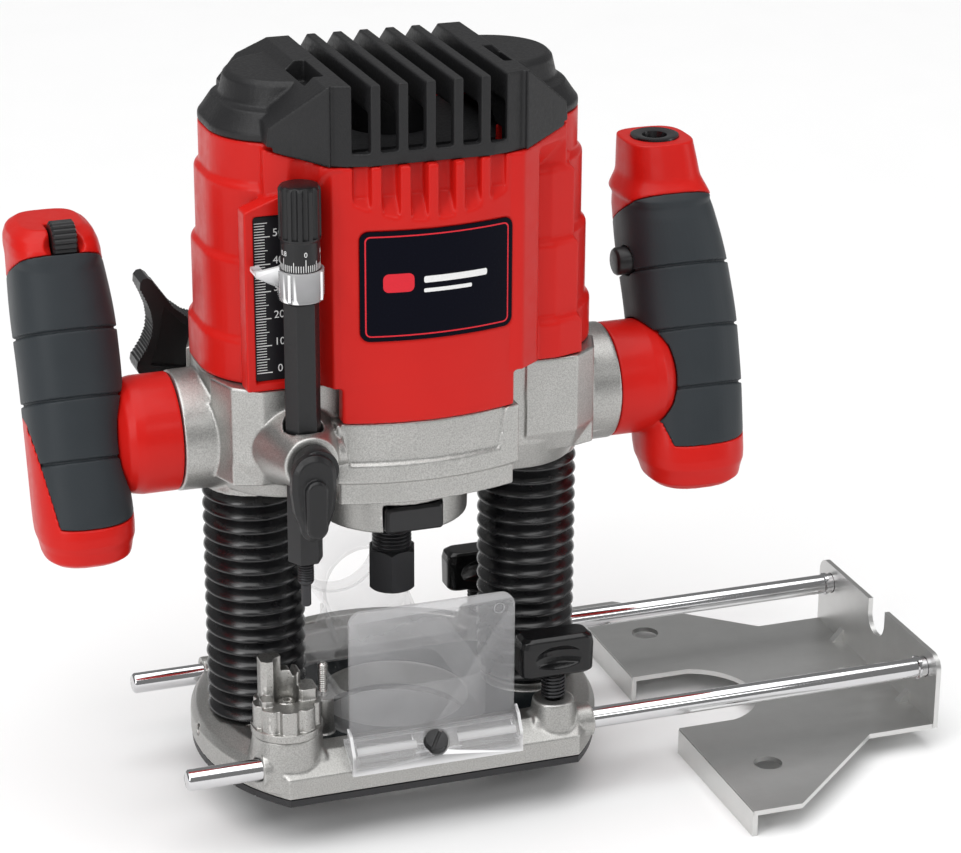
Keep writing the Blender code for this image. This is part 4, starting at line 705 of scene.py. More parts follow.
MATERIALS = {
    "cast_aluminium": cast_metal(
        "cast_aluminium", (0.33, 0.328, 0.315), (0.52, 0.515, 0.50), 0.00050, 0.32, 0.46
    ),
    "die_cast_zinc": cast_metal(
        "die_cast_zinc",
        (0.34, 0.335, 0.32),
        (0.48, 0.475, 0.46),
        0.0005,
        0.26,
        0.38,
    ),
    "red_plastic": red_plastic(),
    "black_plastic": black_plastic("black_plastic", 0.009, 0.40, 0.54, 0.00010),
    "polished_black": black_plastic("polished_black", 0.005, 0.14, 0.22, 0.00001),
    "satin_black": black_plastic("satin_black", 0.008, 0.28, 0.42, 0.00004),
    "grey_rubber": grey_rubber(),
    "black_rubber": black_rubber(),
    "chrome_steel": polished_metal("chrome_steel", (0.66, 0.66, 0.67), 0.06, 0.14, (60, 1, 1)),
    "zinc_sheet": polished_metal("zinc_sheet", (0.68, 0.68, 0.67), 0.28, 0.42, (50, 1, 1)),
    "turned_steel": polished_metal("turned_steel", (0.62, 0.61, 0.59), 0.22, 0.34, (8, 8, 1)),
    "black_steel": polished_metal("black_steel", (0.045, 0.045, 0.048), 0.28, 0.42, (3, 3, 1), 0.7),
    "clear_plastic": clear_plastic("clear_plastic", 0.26, 0.30, 0.70),
    "thin_clear": clear_plastic("thin_clear", 0.010, 0.025, 0.16),
    "navy_label": printed("navy_label", (0.0012, 0.0015, 0.0060), 0.16, 0.06),
    "black_scale": printed("black_scale", (0.0110, 0.0100, 0.0125), 0.32),
    "white_print": printed("white_print", (0.84, 0.84, 0.84), 0.40),
    "red_print": printed("red_print", (0.70, 0.020, 0.035), 0.30),
    "laminated_steel": laminated_steel(),
    "copper": polished_metal("copper", (0.66, 0.27, 0.13), 0.22, 0.36, (1, 1, 30)),
    "bronze": polished_metal("bronze", (0.52, 0.34, 0.15), 0.28, 0.44, (4, 4, 1)),
    # Painted shade: the dark colour of the disc on the base's inner floor.
    "painted_shade": printed("painted_shade", (0.010, 0.014, 0.016), 0.24),
}


# ---------------------------------------------------------------- base


def guard_point(height):
    """A point on the line of the guard's screw, height above the base's sloped front edge."""
    slope = math.atan2(BASE_RIM_Z - BASE_EDGE_Z, BASE_SLOPE_Y - BASE_FRONT_Y)
    middle_y = BASE_FRONT_Y + 0.4 * (BASE_SLOPE_Y - BASE_FRONT_Y)
    middle_z = BASE_EDGE_Z + 0.4 * (BASE_RIM_Z - BASE_EDGE_Z)
    return (0, middle_y - height * math.sin(slope), middle_z + height * math.cos(slope))


def base_casting():
    """Round base with a straight sloped front, bars round both guide rods, and bosses on top."""
    bottom = SOLE_THICKNESS + GAP
    profile = [
        (0, BASE_FLOOR_Z), (BASE_RADIUS - 0.0145, BASE_FLOOR_Z),
        (BASE_RADIUS - 0.0125, BASE_RIM_Z), (BASE_RADIUS - 0.0075, BASE_RIM_Z),
        (BASE_RADIUS - 0.0020, BASE_RIM_Z - 0.0030), (BASE_RADIUS, BASE_EDGE_Z),
        (BASE_RADIUS, bottom), (0, bottom),
    ]
    base = turned("base", profile, steps=128)
    bar_x = 0.0570
    low_z, high_z = bottom + 0.001, BASE_RIM_Z - 0.0001
    join(
        base,
        box("front_bar", (-bar_x, BASE_FRONT_Y - 0.002, low_z), (bar_x, -0.0360, high_z)),
        box("rear_bar", (-bar_x, 0.0365, low_z), (bar_x, 0.0490, high_z)),
    )
    rise = (BASE_RIM_Z - BASE_EDGE_Z) / (BASE_SLOPE_Y - BASE_FRONT_Y)
    slope = [
        (BASE_FRONT_Y - 0.010, BASE_EDGE_Z - 0.010 * rise),
        (BASE_SLOPE_Y + 0.003, BASE_RIM_Z + 0.003 * rise), (BASE_SLOPE_Y + 0.003, 0.040),
        (BASE_FRONT_Y - 0.010, 0.040),
    ]
    cut(
        base,
        prism("slope_waste", slope, -0.065, 0.065, axis="X"),
        box("front_waste", (-0.09, -0.09, -0.01), (0.09, BASE_FRONT_Y, 0.05)),
    )
    for name, side in SIDES:
        join(base, upright(f"socket_{name}", side * COLUMN_X, 0, bottom + 0.002, 0.0170, 0.0165))
    join(
        base,
        upright("turret_boss", TURRET_X, TURRET_Y, bottom + 0.002, TURRET_BOSS_TOP_Z, 0.0150, 0.0128),
        upright("hood_post", -0.0345, -0.0220, 0.010, 0.0277, 0.0042),
    )
    for name, side in ENDS:
        y = side * ROD_Y
        join(base, upright(f"clamp_boss_{name}", CLAMP_X, y, 0.010, CLAMP_BOSS_TOP_Z, 0.0098, 0.0078))
        for end in (-1, 1):
            x = end * (bar_x - 0.004)
            join(
                base,
                cylinder(f"rod_hump_{name}{end}", (x - 0.012, y, ROD_Z), (x + 0.012, y, ROD_Z), 0.0066),
            )
    cut(base, upright("base_opening", 0, 0, -0.01, 0.03, BASE_OPENING_RADIUS, steps=96))
    for name, side in ENDS:
        y = side * ROD_Y
        bore = cylinder(f"rod_bore_{name}", (-0.1, y, ROD_Z), (0.1, y, ROD_Z), ROD_RADIUS + 0.0004)
        cut(base, bore, upright(f"clamp_bore_{name}", CLAMP_X, y, ROD_Z, 0.03, 0.0031))
    for name, side in SIDES:
        cut(base, upright(f"bellows_seat_{name}", side * COLUMN_X, 0, SOCKET_TOP_Z, 0.03, 0.0194))
    cut(base, cylinder("side_hole", (-0.08, 0, 0.010), (-0.068, 0, 0.010), 0.0022))
    finish_piece("base_casting_fine", base, "cast_aluminium", ["base_casting"], grid=(0.00055, 4, 0.35))

    # Painted shade: a thin dark disc on the base's inner floor, standing in for the shadow that lies there.
    floor = upright("floor", 0, 0, BASE_FLOOR_Z + 0.00004, BASE_FLOOR_Z + 0.00024, 0.0636, steps=128)
    cut(floor, upright("floor_hole", 0, 0, 0, 0.03, BASE_OPENING_RADIUS + 0.0006, steps=96))
    for name, side in ENDS:
        near, far = span(side, 0.0358, 0.08)
        cut(floor, box(f"floor_end_{name}", (-0.09, near, 0), (0.09, far, 0.03)))
    finish_piece("base_floor_shade", floor, "painted_shade", body="base")


def sole_plate():
    edge = math.degrees(math.asin(-BASE_FRONT_Y / BASE_RADIUS))
    outline = arc((0, 0), BASE_RADIUS - 0.0004, -edge, 180 + edge, 120)
    opening = polygon((0, 0), BASE_OPENING_RADIUS + 0.0015, 96)
    sole = prism("sole", outline, 0, SOLE_THICKNESS, holes=[opening])
    for x in (-0.028, 0.028):
        for y in (-0.030, 0.030):
            cut(sole, upright(f"sink_{x}_{y}", x, y, -0.001, 0.0022, 0.0046, 0.0019, 24))
    for i in range(9):
        y = -0.040 + 0.010 * i
        cut(sole, box(f"sole_groove_{i}", (-0.09, y - 0.0004, -0.001), (0.09, y + 0.0004, 0.0004)))
    finish_piece("sole_plate_fine", sole, "black_plastic", ["sole_plate"])


def bellows():
    """Seventeen-ring rubber bellows round each column."""
    low, high = SOCKET_TOP_Z + GAP, SLEEVE_BOTTOM_Z - GAP
    pitch = (high - low) / BELLOWS_RINGS
    valley = BELLOWS_RADIUS - 0.0032
    fold = ((0.0, 0.0), (0.16, 0.12), (0.55, 0.30), (0.86, 0.46), (0.98, 0.58), (1.0, 0.66))
    fold += ((0.93, 0.74), (0.58, 0.86), (0.14, 0.96))
    outer = []
    for i in range(BELLOWS_RINGS):
        top = high - i * pitch
        for share, height in fold:
            outer.append((valley + share * (BELLOWS_RADIUS - valley), top - height * pitch))
    outer.append((valley, low))
    profile = outer + [(0.0150, low), (0.0150, high)]
    for name, side in SIDES:
        x = side * COLUMN_X
        for node, shape, material in (
            (f"bellows_{name}", turned("bellows", profile, (x, 0, 0), 96, closed=True), "black_rubber"),
            (f"return_spring_{name}", None, "turned_steel"),
        ):
            if shape is None:
                shape = coil("spring", (x, 0), 0.0124, low, high, 9, 0.0018, 24)
            piece = finish_piece(node + "_fine", shape, material, [node])
            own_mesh(piece)


def dust_hood():
    """Clear collar round the cutter opening with a round spigot to the rear."""
    wall = 0.0018
    half_x, front_y, rear_y = 0.0298, -0.0300, 0.0358
    bottom, top = BASE_FLOOR_Z + GAP, 0.0300
    middle_y, half_y = (front_y + rear_y) / 2, (rear_y - front_y) / 2
    hood = prism(
        "hood",
        rounded_rectangle(half_x, half_y, 0.008, 8, (0, middle_y)),
        bottom,
        top,
        holes=[rounded_rectangle(half_x - wall, half_y - wall, 0.0065, 8, (0, middle_y))],
    )
    spigot_z, spigot_radius = 0.0435, 0.0180
    back = [(half_x - 0.007, bottom), (half_x - 0.007, top - 0.004)]
    back += arc((0, spigot_z), spigot_radius, -20, 200, 48)
    back += [(-half_x + 0.007, top - 0.004), (-half_x + 0.007, bottom)]
    join(hood, prism("hood_back", back, rear_y - wall, rear_y, axis="Y"))
    for name, side in SIDES:
        web = [(0.0050, top - 0.002), (rear_y - 0.0005, 0.0385), (rear_y - 0.0005, top - 0.002)]
        x = side * 0.0175
        join(hood, prism(f"hood_web_{name}", web, x - wall / 2, x + wall / 2, axis="X"))
    join(
        hood,
        box(
            "hood_bridge",
            (-half_x + 0.001, rear_y - 0.030, top - wall),
            (half_x - 0.001, rear_y - 0.001, top),
        ),
        cylinder("hood_tube", (0, rear_y - wall, spigot_z), (0, 0.0780, spigot_z), spigot_radius, steps=96),
        cylinder(
            "hood_collar",
            (0, 0.0735, spigot_z),
            (0, 0.0762, spigot_z),
            spigot_radius + 0.0012,
            steps=96,
        ),
        box("hood_lug", (-0.0395, -0.0265, top - 0.002), (-half_x + 0.001, -0.0175, top)),
    )
    cut(
        hood,
        cylinder(
            "hood_mouth",
            (0, 0.0100, spigot_z),
            (0, 0.0800, spigot_z),
            spigot_radius - wall,
            steps=96,
        ),
        upright("hood_throat", 0, 0, 0, 0.06, 0.0225, steps=96),
        upright("lug_hole", -0.0345, -0.0220, 0.02, 0.04, 0.0020, steps=24),
    )
    finish_piece("dust_hood_fine", hood, "thin_clear", ["dust_hood"], bevel=0.00035)

    screw = turned("screw", threaded(0.0418, 0.0290, 0.00185, 0.0008, 0.0182), (-0.0345, -0.0220, 0), 32)
    finish_piece("hood_screw_fine", screw, "turned_steel", ["hood_screw"])


def threaded(top, thread_bottom, radius, pitch, bottom, depth=0.00035):
    """The profile of a stud: a blunt tip, thread down to thread_bottom, then a plain shank."""
    profile = [(0, top), (radius - 0.0007, top - 0.0002), (radius - depth, top - 0.0008)]
    height = top - 0.0008
    while height - pitch > thread_bottom:
        profile += [
            (radius, height - 0.40 * pitch), (radius, height - 0.60 * pitch),
            (radius - depth, height - pitch),
        ]
        height -= pitch
    return profile + [(radius - 0.0001, thread_bottom - 0.0002), (radius - 0.0001, bottom), (0, bottom)]


def chip_guard():
    """Clear screen in front of the cutter, with a clip that lies along the base's sloped edge."""
    half_x, screen_y, thickness = 0.0320, -0.0478, 0.0018
    screen_top, corner = 0.0722, 0.005
    outline = [(half_x, 0.0200)]
    outline += arc((half_x - corner, screen_top - corner), corner, 0, 90, 10)
    outline += arc((-half_x + corner, screen_top - corner), corner, 90, 180, 10)
    outline += [(-half_x, 0.0200)]
    low_y, high_y = screen_y - thickness / 2, screen_y + thickness / 2
    guard = prism("guard", outline, low_y, high_y, axis="Y")
    clip = [
        (BASE_SLOPE_Y, BASE_RIM_Z + 0.0004), (BASE_SLOPE_Y, BASE_RIM_Z + 0.0024),
        (-0.0500, 0.0215), (-0.0556, 0.0160), (-0.0560, 0.0100), (-0.0539, 0.0100),
        (-0.0539, BASE_EDGE_Z + 0.0001),
    ]
    clip_x = half_x + 0.0012
    join(guard, prism("guard_clip", clip, -clip_x, clip_x, axis="X"))
    pocket = [(-0.0505, 0.0190), (-0.0505, 0.0260), (-0.0570, 0.0200), (-0.0570, 0.0145), (-0.0551, 0.0145)]
    for name, side in SIDES:
        low, high = span(side, 0.0090, 0.0300)
        cut(guard, prism(f"guard_pocket_{name}", pocket, low, high, axis="X"))
        barrel = cylinder(
            f"barrel_{name}",
            (low - 0.001, -0.0527, 0.0178),
            (high + 0.001, -0.0527, 0.0178),
            0.0019,
        )
        join(guard, barrel)
        x = side * (clip_x - 0.0006)
        cheek = [
            (-0.0486, 0.0200), (-0.0486, 0.0262), (-0.0520, 0.0240), (-0.0556, 0.0180),
            (-0.0556, 0.0150),
        ]
        join(guard, prism(f"guard_cheek_{name}", cheek, x - 0.0006, x + 0.0006, axis="X"))
    cut(guard, cylinder("guard_hole", guard_point(-0.004), guard_point(0.0130), 0.0020, steps=32))
    cut(guard, cylinder("guard_seat", guard_point(0.0034), guard_point(0.0200), 0.0052, steps=40))
    dot_x, dot_z = half_x - 0.0062, screen_top - 0.0056
    dot = cylinder(
        "guard_dot",
        (dot_x, low_y - 0.0003, dot_z),
        (dot_x, low_y + 0.0003, dot_z),
        0.0021,
        steps=32,
    )
    dot_middle = cylinder(
        "guard_dot_in",
        (dot_x, low_y - 0.0004, dot_z),
        (dot_x, low_y + 0.0002, dot_z),
        0.0017,
        steps=32,
    )
    cut(dot, dot_middle)
    join(guard, dot)
    finish_piece("chip_guard_fine", guard, "clear_plastic", ["chip_guard"], bevel=0.0003)

    screw = cylinder("screw", guard_point(-0.0011), guard_point(0.0040), 0.0016, steps=24)
    join(screw, cylinder("head", guard_point(0.0037), guard_point(0.0068), 0.0046, 0.0042, steps=48))
    slot = box("slot", (-0.0060, -0.0006, -0.0014), (0.0060, 0.0006, 0.0020))
    normal = Vector(guard_point(1)) - Vector(guard_point(0))
    tilt = Vector((0, 0, 1)).rotation_difference(normal).to_matrix().to_4x4()
    place = Matrix.Translation(guard_point(0.0068))
    slot.data.transform(place @ tilt @ Matrix.Rotation(math.radians(55), 4, "Z"))
    cut(screw, slot)
    finish_piece(
        "guard_screw_fine",
        screw,
        "satin_black",
        ["guard_screw"],
        bevel=0.0003,
    )


# ---------------------------------------------------------------- turret and rod clamps


def clipped(low, high, corner):
    """A rectangle with its four corners cut off."""
    (x0, y0), (x1, y1) = low, high
    return [
        (x0 + corner, y0), (x1 - corner, y0), (x1, y0 + corner), (x1, y1 - corner),
        (x1 - corner, y1), (x0 + corner, y1), (x0, y1 - corner), (x0, y0 + corner),
    ]


def turret():
    """Stepped depth-stop turret: a scalloped ring with posts of three heights."""
    steps = 144
    outline = []
    for i in range(steps):
        angle = 2 * math.pi * i / steps
        inward = 0.0016 * max(0.0, math.cos(9 * angle)) ** 2
        radius = TURRET_RADIUS - inward
        outline.append((TURRET_X + radius * math.cos(angle), TURRET_Y + radius * math.sin(angle)))
    low = TURRET_BOSS_TOP_Z + GAP
    body = prism("turret_body", outline, low + 0.0024, TURRET_RING_TOP_Z)
    join(body, upright("skirt", TURRET_X, TURRET_Y, low, low + 0.0030, 0.0134, steps=96))
    posts = (
        ((-0.0090, 0.0003), (-0.0006, 0.0090), 0.0520, 0.0017),
        ((-0.0014, 0.0012), (0.0062, 0.0092), 0.0460, 0.0012),
        ((0.0040, -0.0040), (0.0112, 0.0052), 0.0410, 0.0012),
        ((-0.0104, -0.0052), (-0.0058, 0.0010), 0.0388, 0.0010),
    )
    for i, (near, far, height, corner) in enumerate(posts):
        shape = clipped(
            (TURRET_X + near[0], TURRET_Y + near[1]),
            (TURRET_X + far[0], TURRET_Y + far[1]),
            corner,
        )
        join(body, prism(f"post_{i}", shape, TURRET_RING_TOP_Z - 0.004, height))
    notch = [(0.0012, 0.0500), (0.0062, 0.0500), (0.0037, 0.0432)]
    notch = [(TURRET_X + x, z) for x, z in notch]
    cut(
        body,
        upright("turret_bore", TURRET_X, TURRET_Y, 0.02, 0.06, 0.0025),
        upright("turret_sink", TURRET_X, TURRET_Y, TURRET_RING_TOP_Z - 0.003, 0.06, 0.0046),
        prism("post_notch", notch, TURRET_Y, TURRET_Y + 0.012, axis="Y"),
    )
    finish_piece(
        "turret_fine",
        body,
        "die_cast_zinc",
        ["turret"],
        grid=(0.00026, 3, 0.5),
    )

    floor = TURRET_RING_TOP_Z - 0.003
    profile = [
        (0, floor + 0.0028), (0.0022, floor + 0.0027), (0.0034, floor + 0.0020),
        (0.0040, floor + 0.0010), (0.0040, floor + GAP), (0.0019, floor + GAP), (0.0019, 0.0190),
        (0, 0.0190),
    ]
    screw = turned("screw", profile, (TURRET_X, TURRET_Y, 0), 48)
    recess = polygon((TURRET_X, TURRET_Y), 0.0015, 6, 10)
    cut(screw, prism("recess", recess, floor + 0.0012, floor + 0.005))
    finish_piece("turret_screw_fine", screw, "turned_steel", ["turret_screw"])


def clamp_knobs():
    """Black bar knobs that press on the guide rods, each over a small spring."""
    half_x, half_y, low, high = 0.0146, 0.0062, 0.0345, 0.0505
    for name, side in ENDS:
        x, y = CLAMP_X, side * ROD_Y
        sections = (
            (low, 0.0012, 0.0012), (low + 0.0012, 0.0002, 0.0002), (high - 0.0040, 0, 0),
            (high - 0.0012, 0.0006, 0.0004), (high, 0.0022, 0.0018),
        )
        rings = [
            at_height(rounded_rectangle(half_x - du, half_y - dv, 0.0034, 8, (x, y)), z)
            for z, du, dv in sections
        ]
        knob = loft("knob", rings)
        middle_z = (low + high) / 2
        for direction in (-1, 1):
            bowl = [(0, 0.0066), (0.0090, 0.0060), (0.0130, 0.0044), (0.0150, 0.0020), (0.0156, -0.0006)]
            bowl += [(0.0150, -0.0030), (0.0120, -0.0050), (0, -0.0056)]
            scoop = turned(f"scoop_{direction}", bowl, steps=48)
            scoop.data.transform(Matrix.Translation((x, y + direction * (half_y + 0.0122), middle_z)))
            cut(knob, scoop)
        join(knob, upright("knob_screw", x, y, ROD_Z + ROD_RADIUS + GAP, low + 0.004, 0.0025))
        node = f"clamp_knob_{name}"
        finish_piece(
            node + "_fine",
            knob,
            "polished_black",
            [node],
            grid=(0.00030, 4, 0.5),
        )
        node = f"clamp_spring_{name}"
        spring = coil("spring", (x, y), 0.0041, CLAMP_BOSS_TOP_Z + GAP, low - 0.0010, 6, 0.0010)
        finish_piece(node + "_fine", spring, "black_steel", [node])


# ---------------------------------------------------------------- side fence


def fence():
    """Two chromed guide rods and a bent zinc-plated sheet: lip, flat plate with cut-outs, upright flange."""
    swage_x = FENCE_FLANGE_X - 0.0042
    sections = (
        (ROD_LEFT_X, ROD_RADIUS - 0.0010), (ROD_LEFT_X + 0.0003, ROD_RADIUS - 0.0005),
        (ROD_LEFT_X + 0.0010, ROD_RADIUS), (swage_x, ROD_RADIUS),
        (swage_x + 0.0004, ROD_RADIUS + 0.0006), (swage_x + 0.0018, ROD_RADIUS + 0.0006),
        (swage_x + 0.0022, ROD_RADIUS), (FENCE_FLANGE_X + SHEET, ROD_RADIUS),
    )
    for name, side in ENDS:
        centre = (side * ROD_Y, ROD_Z)
        rings = [[(x, u, v) for u, v in polygon(centre, radius, 64)] for x, radius in sections]
        node = f"guide_rod_{name}"
        finish_piece(node + "_fine", loft("rod", rings), "chrome_steel", [node])

    corner_x, shoulder_x, notch_half = 0.130, 0.179, 0.0240
    arc_centre_x, arc_radius = 0.127, 0.025
    left_x, right_x = FENCE_LEFT_X + GAP, FENCE_FLANGE_X + SHEET / 2
    bend_half = FENCE_FLANGE_HALF_Y - GAP
    outline = [
        (right_x, -bend_half), (right_x, bend_half), (shoulder_x, bend_half),
        (corner_x, FENCE_HALF_Y), (left_x, FENCE_HALF_Y), (left_x, notch_half),
    ]
    sweep = math.degrees(math.asin(notch_half / arc_radius))
    outline += arc((arc_centre_x, 0), arc_radius, sweep, -sweep, 48)
    outline += [
        (left_x, -notch_half), (left_x, -FENCE_HALF_Y), (corner_x, -FENCE_HALF_Y),
        (shoulder_x, -bend_half),
    ]
    hole_places = ((0.1312, -0.0620), (0.1312, 0.0620), (0.1960, 0))
    holes = [polygon(centre, 0.0055, 40) for centre in hole_places]
    plate = prism("plate", outline, FENCE_TOP_Z - SHEET, FENCE_TOP_Z, holes=holes)
    for name, side in ENDS:
        low, high = span(side, notch_half + GAP, FENCE_HALF_Y - GAP)
        lip = box(
            f"lip_{name}",
            (FENCE_LEFT_X, low, FENCE_LIP_BOTTOM_Z),
            (FENCE_LEFT_X + SHEET, high, FENCE_TOP_Z - 0.0005),
        )
        join(plate, lip)
    corner, slot = 0.006, 0.0072
    flange_bottom = FENCE_TOP_Z - SHEET + GAP
    flange = [(FENCE_FLANGE_HALF_Y, flange_bottom)]
    flange += arc((FENCE_FLANGE_HALF_Y - corner, FENCE_FLANGE_TOP_Z - corner), corner, 0, 90, 12)
    flange += [(slot, FENCE_FLANGE_TOP_Z)]
    flange += arc((0, 0.0140), slot, 0, -180, 32)
    flange += [(-slot, FENCE_FLANGE_TOP_Z)]
    flange += arc((-FENCE_FLANGE_HALF_Y + corner, FENCE_FLANGE_TOP_Z - corner), corner, 90, 180, 12)
    flange += [(-FENCE_FLANGE_HALF_Y, flange_bottom)]
    rod_holes = [polygon((side * ROD_Y, ROD_Z), ROD_RADIUS + GAP, 48) for side in (-1, 1)]
    join(plate, prism("flange", flange, FENCE_FLANGE_X, FENCE_FLANGE_X + SHEET, axis="X", holes=rod_holes))
    for name, side in ENDS:
        gusset = [
            (FENCE_FLANGE_X - 0.0050, FENCE_TOP_Z - 0.0005),
            (FENCE_FLANGE_X + 0.0005, FENCE_TOP_Z - 0.0005),
            (FENCE_FLANGE_X + 0.0005, FENCE_TOP_Z + 0.0055),
        ]
        y = side * 0.030
        join(plate, prism(f"gusset_{name}", gusset, y - 0.0016, y + 0.0016, axis="Y"))
    finish_piece("fence_plate_fine", plate, "zinc_sheet", ["fence_plate"], bevel=0.0004)


# ---------------------------------------------------------------- motor bracket and housing


def front_outline(half_x, inset=0.0, side=-1):
    """The bowed front or rear face, closed back to the middle of the body."""
    radius = FRONT_ARC_RADIUS - inset
    centre_v = side * (FRONT_Y - FRONT_ARC_RADIUS)
    sweep = math.degrees(math.asin(half_x / radius))
    points = arc((0, centre_v), radius, side * 90 - sweep, side * 90 + sweep, 32)
    first, last = points[0], points[-1]
    return points + [(last[0], 0), (first[0], 0)]


def body_outline(inset=0.0):
    """Plan of the motor body, drawn in by inset."""
    return rounded_rectangle(HOUSING_HALF_X - inset, HOUSING_HALF_Y - inset, HOUSING_CORNER - inset, 16)


def motor_bracket():
    """Cast bracket: body round the motor, column sleeves, handle arms, spindle nose, rod boss."""
    low = BRACKET_BOTTOM_Z
    bracket = loft(
        "bracket",
        [
            at_height(body_outline(0.0060), low),
            at_height(body_outline(0.0008), low + 0.012),
            at_height(body_outline(0.0004), BRACKET_TOP_Z),
        ],
    )
    for end, side in ENDS:
        band = [
            at_height(front_outline(0.0345, inset=0.0006, side=side), low + 0.0086),
            at_height(front_outline(0.0345, side=side), low + 0.0092),
            at_height(front_outline(0.0345, side=side), FRONT_SPLIT_Z),
        ]
        skirt = prism(f"skirt_{end}", front_outline(0.0330, inset=0.0022, side=side), low, low + 0.0100)
        join(bracket, loft(f"band_{end}", band), skirt)
    for name, side in SIDES:
        centre = (side * COLUMN_X, 0)
        join(
            bracket,
            upright(f"sleeve_{name}", *centre, SLEEVE_BOTTOM_Z, 0.150, SLEEVE_RADIUS, steps=96),
            cylinder(
                f"arm_{name}",
                (side * 0.050, 0, ARM_Z),
                (side * ARM_END_X, 0, ARM_Z),
                ARM_RADIUS + 0.0004,
                ARM_RADIUS,
                96,
            ),
        )
        for end, way in ENDS:
            plan = [
                (0.0400, 0.0376), (0.0595, 0.0376), (0.0690, 0.0300), (0.0735, 0.0170),
                (0.0400, 0.0170),
            ]
            flush = [(side * x, way * min(y, 0.0330)) for x, y in plan]
            plan = [(side * x, way * y) for x, y in plan]
            rings = [at_height(flush, 0.1200), at_height(plan, 0.1290), at_height(plan, BRACKET_TOP_Z)]
            join(bracket, loft(f"cheek_{name}_{end}", rings))
    boss_x, boss_z = DEPTH_ROD_X, DEPTH_BOSS_Z
    join(
        bracket,
        upright("nose", 0, 0, NOSE_BOTTOM_Z, low + 0.004, NOSE_RADIUS - 0.0006, NOSE_RADIUS, 96),
        cylinder("rod_boss", (boss_x, -0.0330, boss_z), (boss_x, -0.0560, boss_z), 0.0165, 0.0098, 64),
        cylinder(
            "rod_lug",
            (boss_x + 0.004, -0.0440, boss_z),
            (boss_x + 0.0175, -0.0440, boss_z - 0.001),
            0.0062,
            0.0046,
        ),
        cylinder("lever_boss", (-COLUMN_X, 0.030, LEVER_Z), (-COLUMN_X, 0.0395, LEVER_Z), 0.0100),
    )
    panel = [(-0.0305, 0.1290), (0.0262, 0.1290), (0.0295, 0.1460), (-0.0335, 0.1460)]
    panel_waste = prism("panel", panel, -0.0600, -0.0400, axis="Y")
    cut(panel_waste, prism("panel_back", front_outline(0.0400, inset=0.0013), 0.1200, 0.1500))
    cut(
        bracket,
        box("lock_gap", (-0.0115, -0.0300, 0.0900), (0.0115, -0.0095, 0.1030)),
        upright("motor_cavity", 0, 0, 0.1240, 0.1700, 0.0410, steps=64),
        upright("spindle_bore", 0, 0, 0.0800, 0.1300, 0.0105),
        upright("rod_hole", DEPTH_ROD_X, DEPTH_ROD_Y, 0.1000, 0.1800, 0.0070),
        cylinder("clamp_hole", (boss_x, -0.0600, boss_z), (boss_x, -0.050, boss_z), 0.0034),
        cylinder("lever_hole", (-COLUMN_X, 0.0340, LEVER_Z), (-COLUMN_X, 0.0450, LEVER_Z), 0.0034),
        panel_waste,
    )
    for end, side in ENDS:
        low_y, high_y = span(side, 0.0390, 0.0600)
        cut(bracket, box(f"split_{end}", (-0.0328, low_y, FRONT_SPLIT_Z), (0.0328, high_y, 0.170)))
        for x in (-0.0195, 0.0195):
            y = side * 0.0380
            cut(bracket, upright(f"foot_hole_{end}_{x}", x, y, low - 0.002, low + 0.006, 0.0028))
    for name, side in SIDES:
        bore = upright(f"sleeve_bore_{name}", side * COLUMN_X, 0, 0.1, 0.17, 0.0135)
        spigot = cylinder(f"arm_bore_{name}", (side * 0.0690, 0, ARM_Z), (side * 0.0900, 0, ARM_Z), 0.0088)
        screw = upright(f"arm_screw_bore_{name}", side * 0.0765, 0, 0.105, 0.128, 0.0028)
        cut(bracket, bore, spigot, screw)
    finish_piece(
        "motor_bracket_fine",
        bracket,
        "cast_aluminium",
        ["motor_bracket"],
        grid=(0.00055, 4, 0.35),
    )


def tier_rings():
    """The housing's sides step in three times on the way up, each step a small sloped ledge."""
    rings = []
    levels = (BRACKET_TOP_Z + GAP, *TIER_STEPS_Z, HOUSING_TOP_Z)
    for i, (low, high) in enumerate(zip(levels, levels[1:])):
        start = low if i == 0 else low + 0.0020
        rings.append(at_height(body_outline(i * TIER_INSET), start))
        rings.append(at_height(body_outline(i * TIER_INSET), high))
    return rings


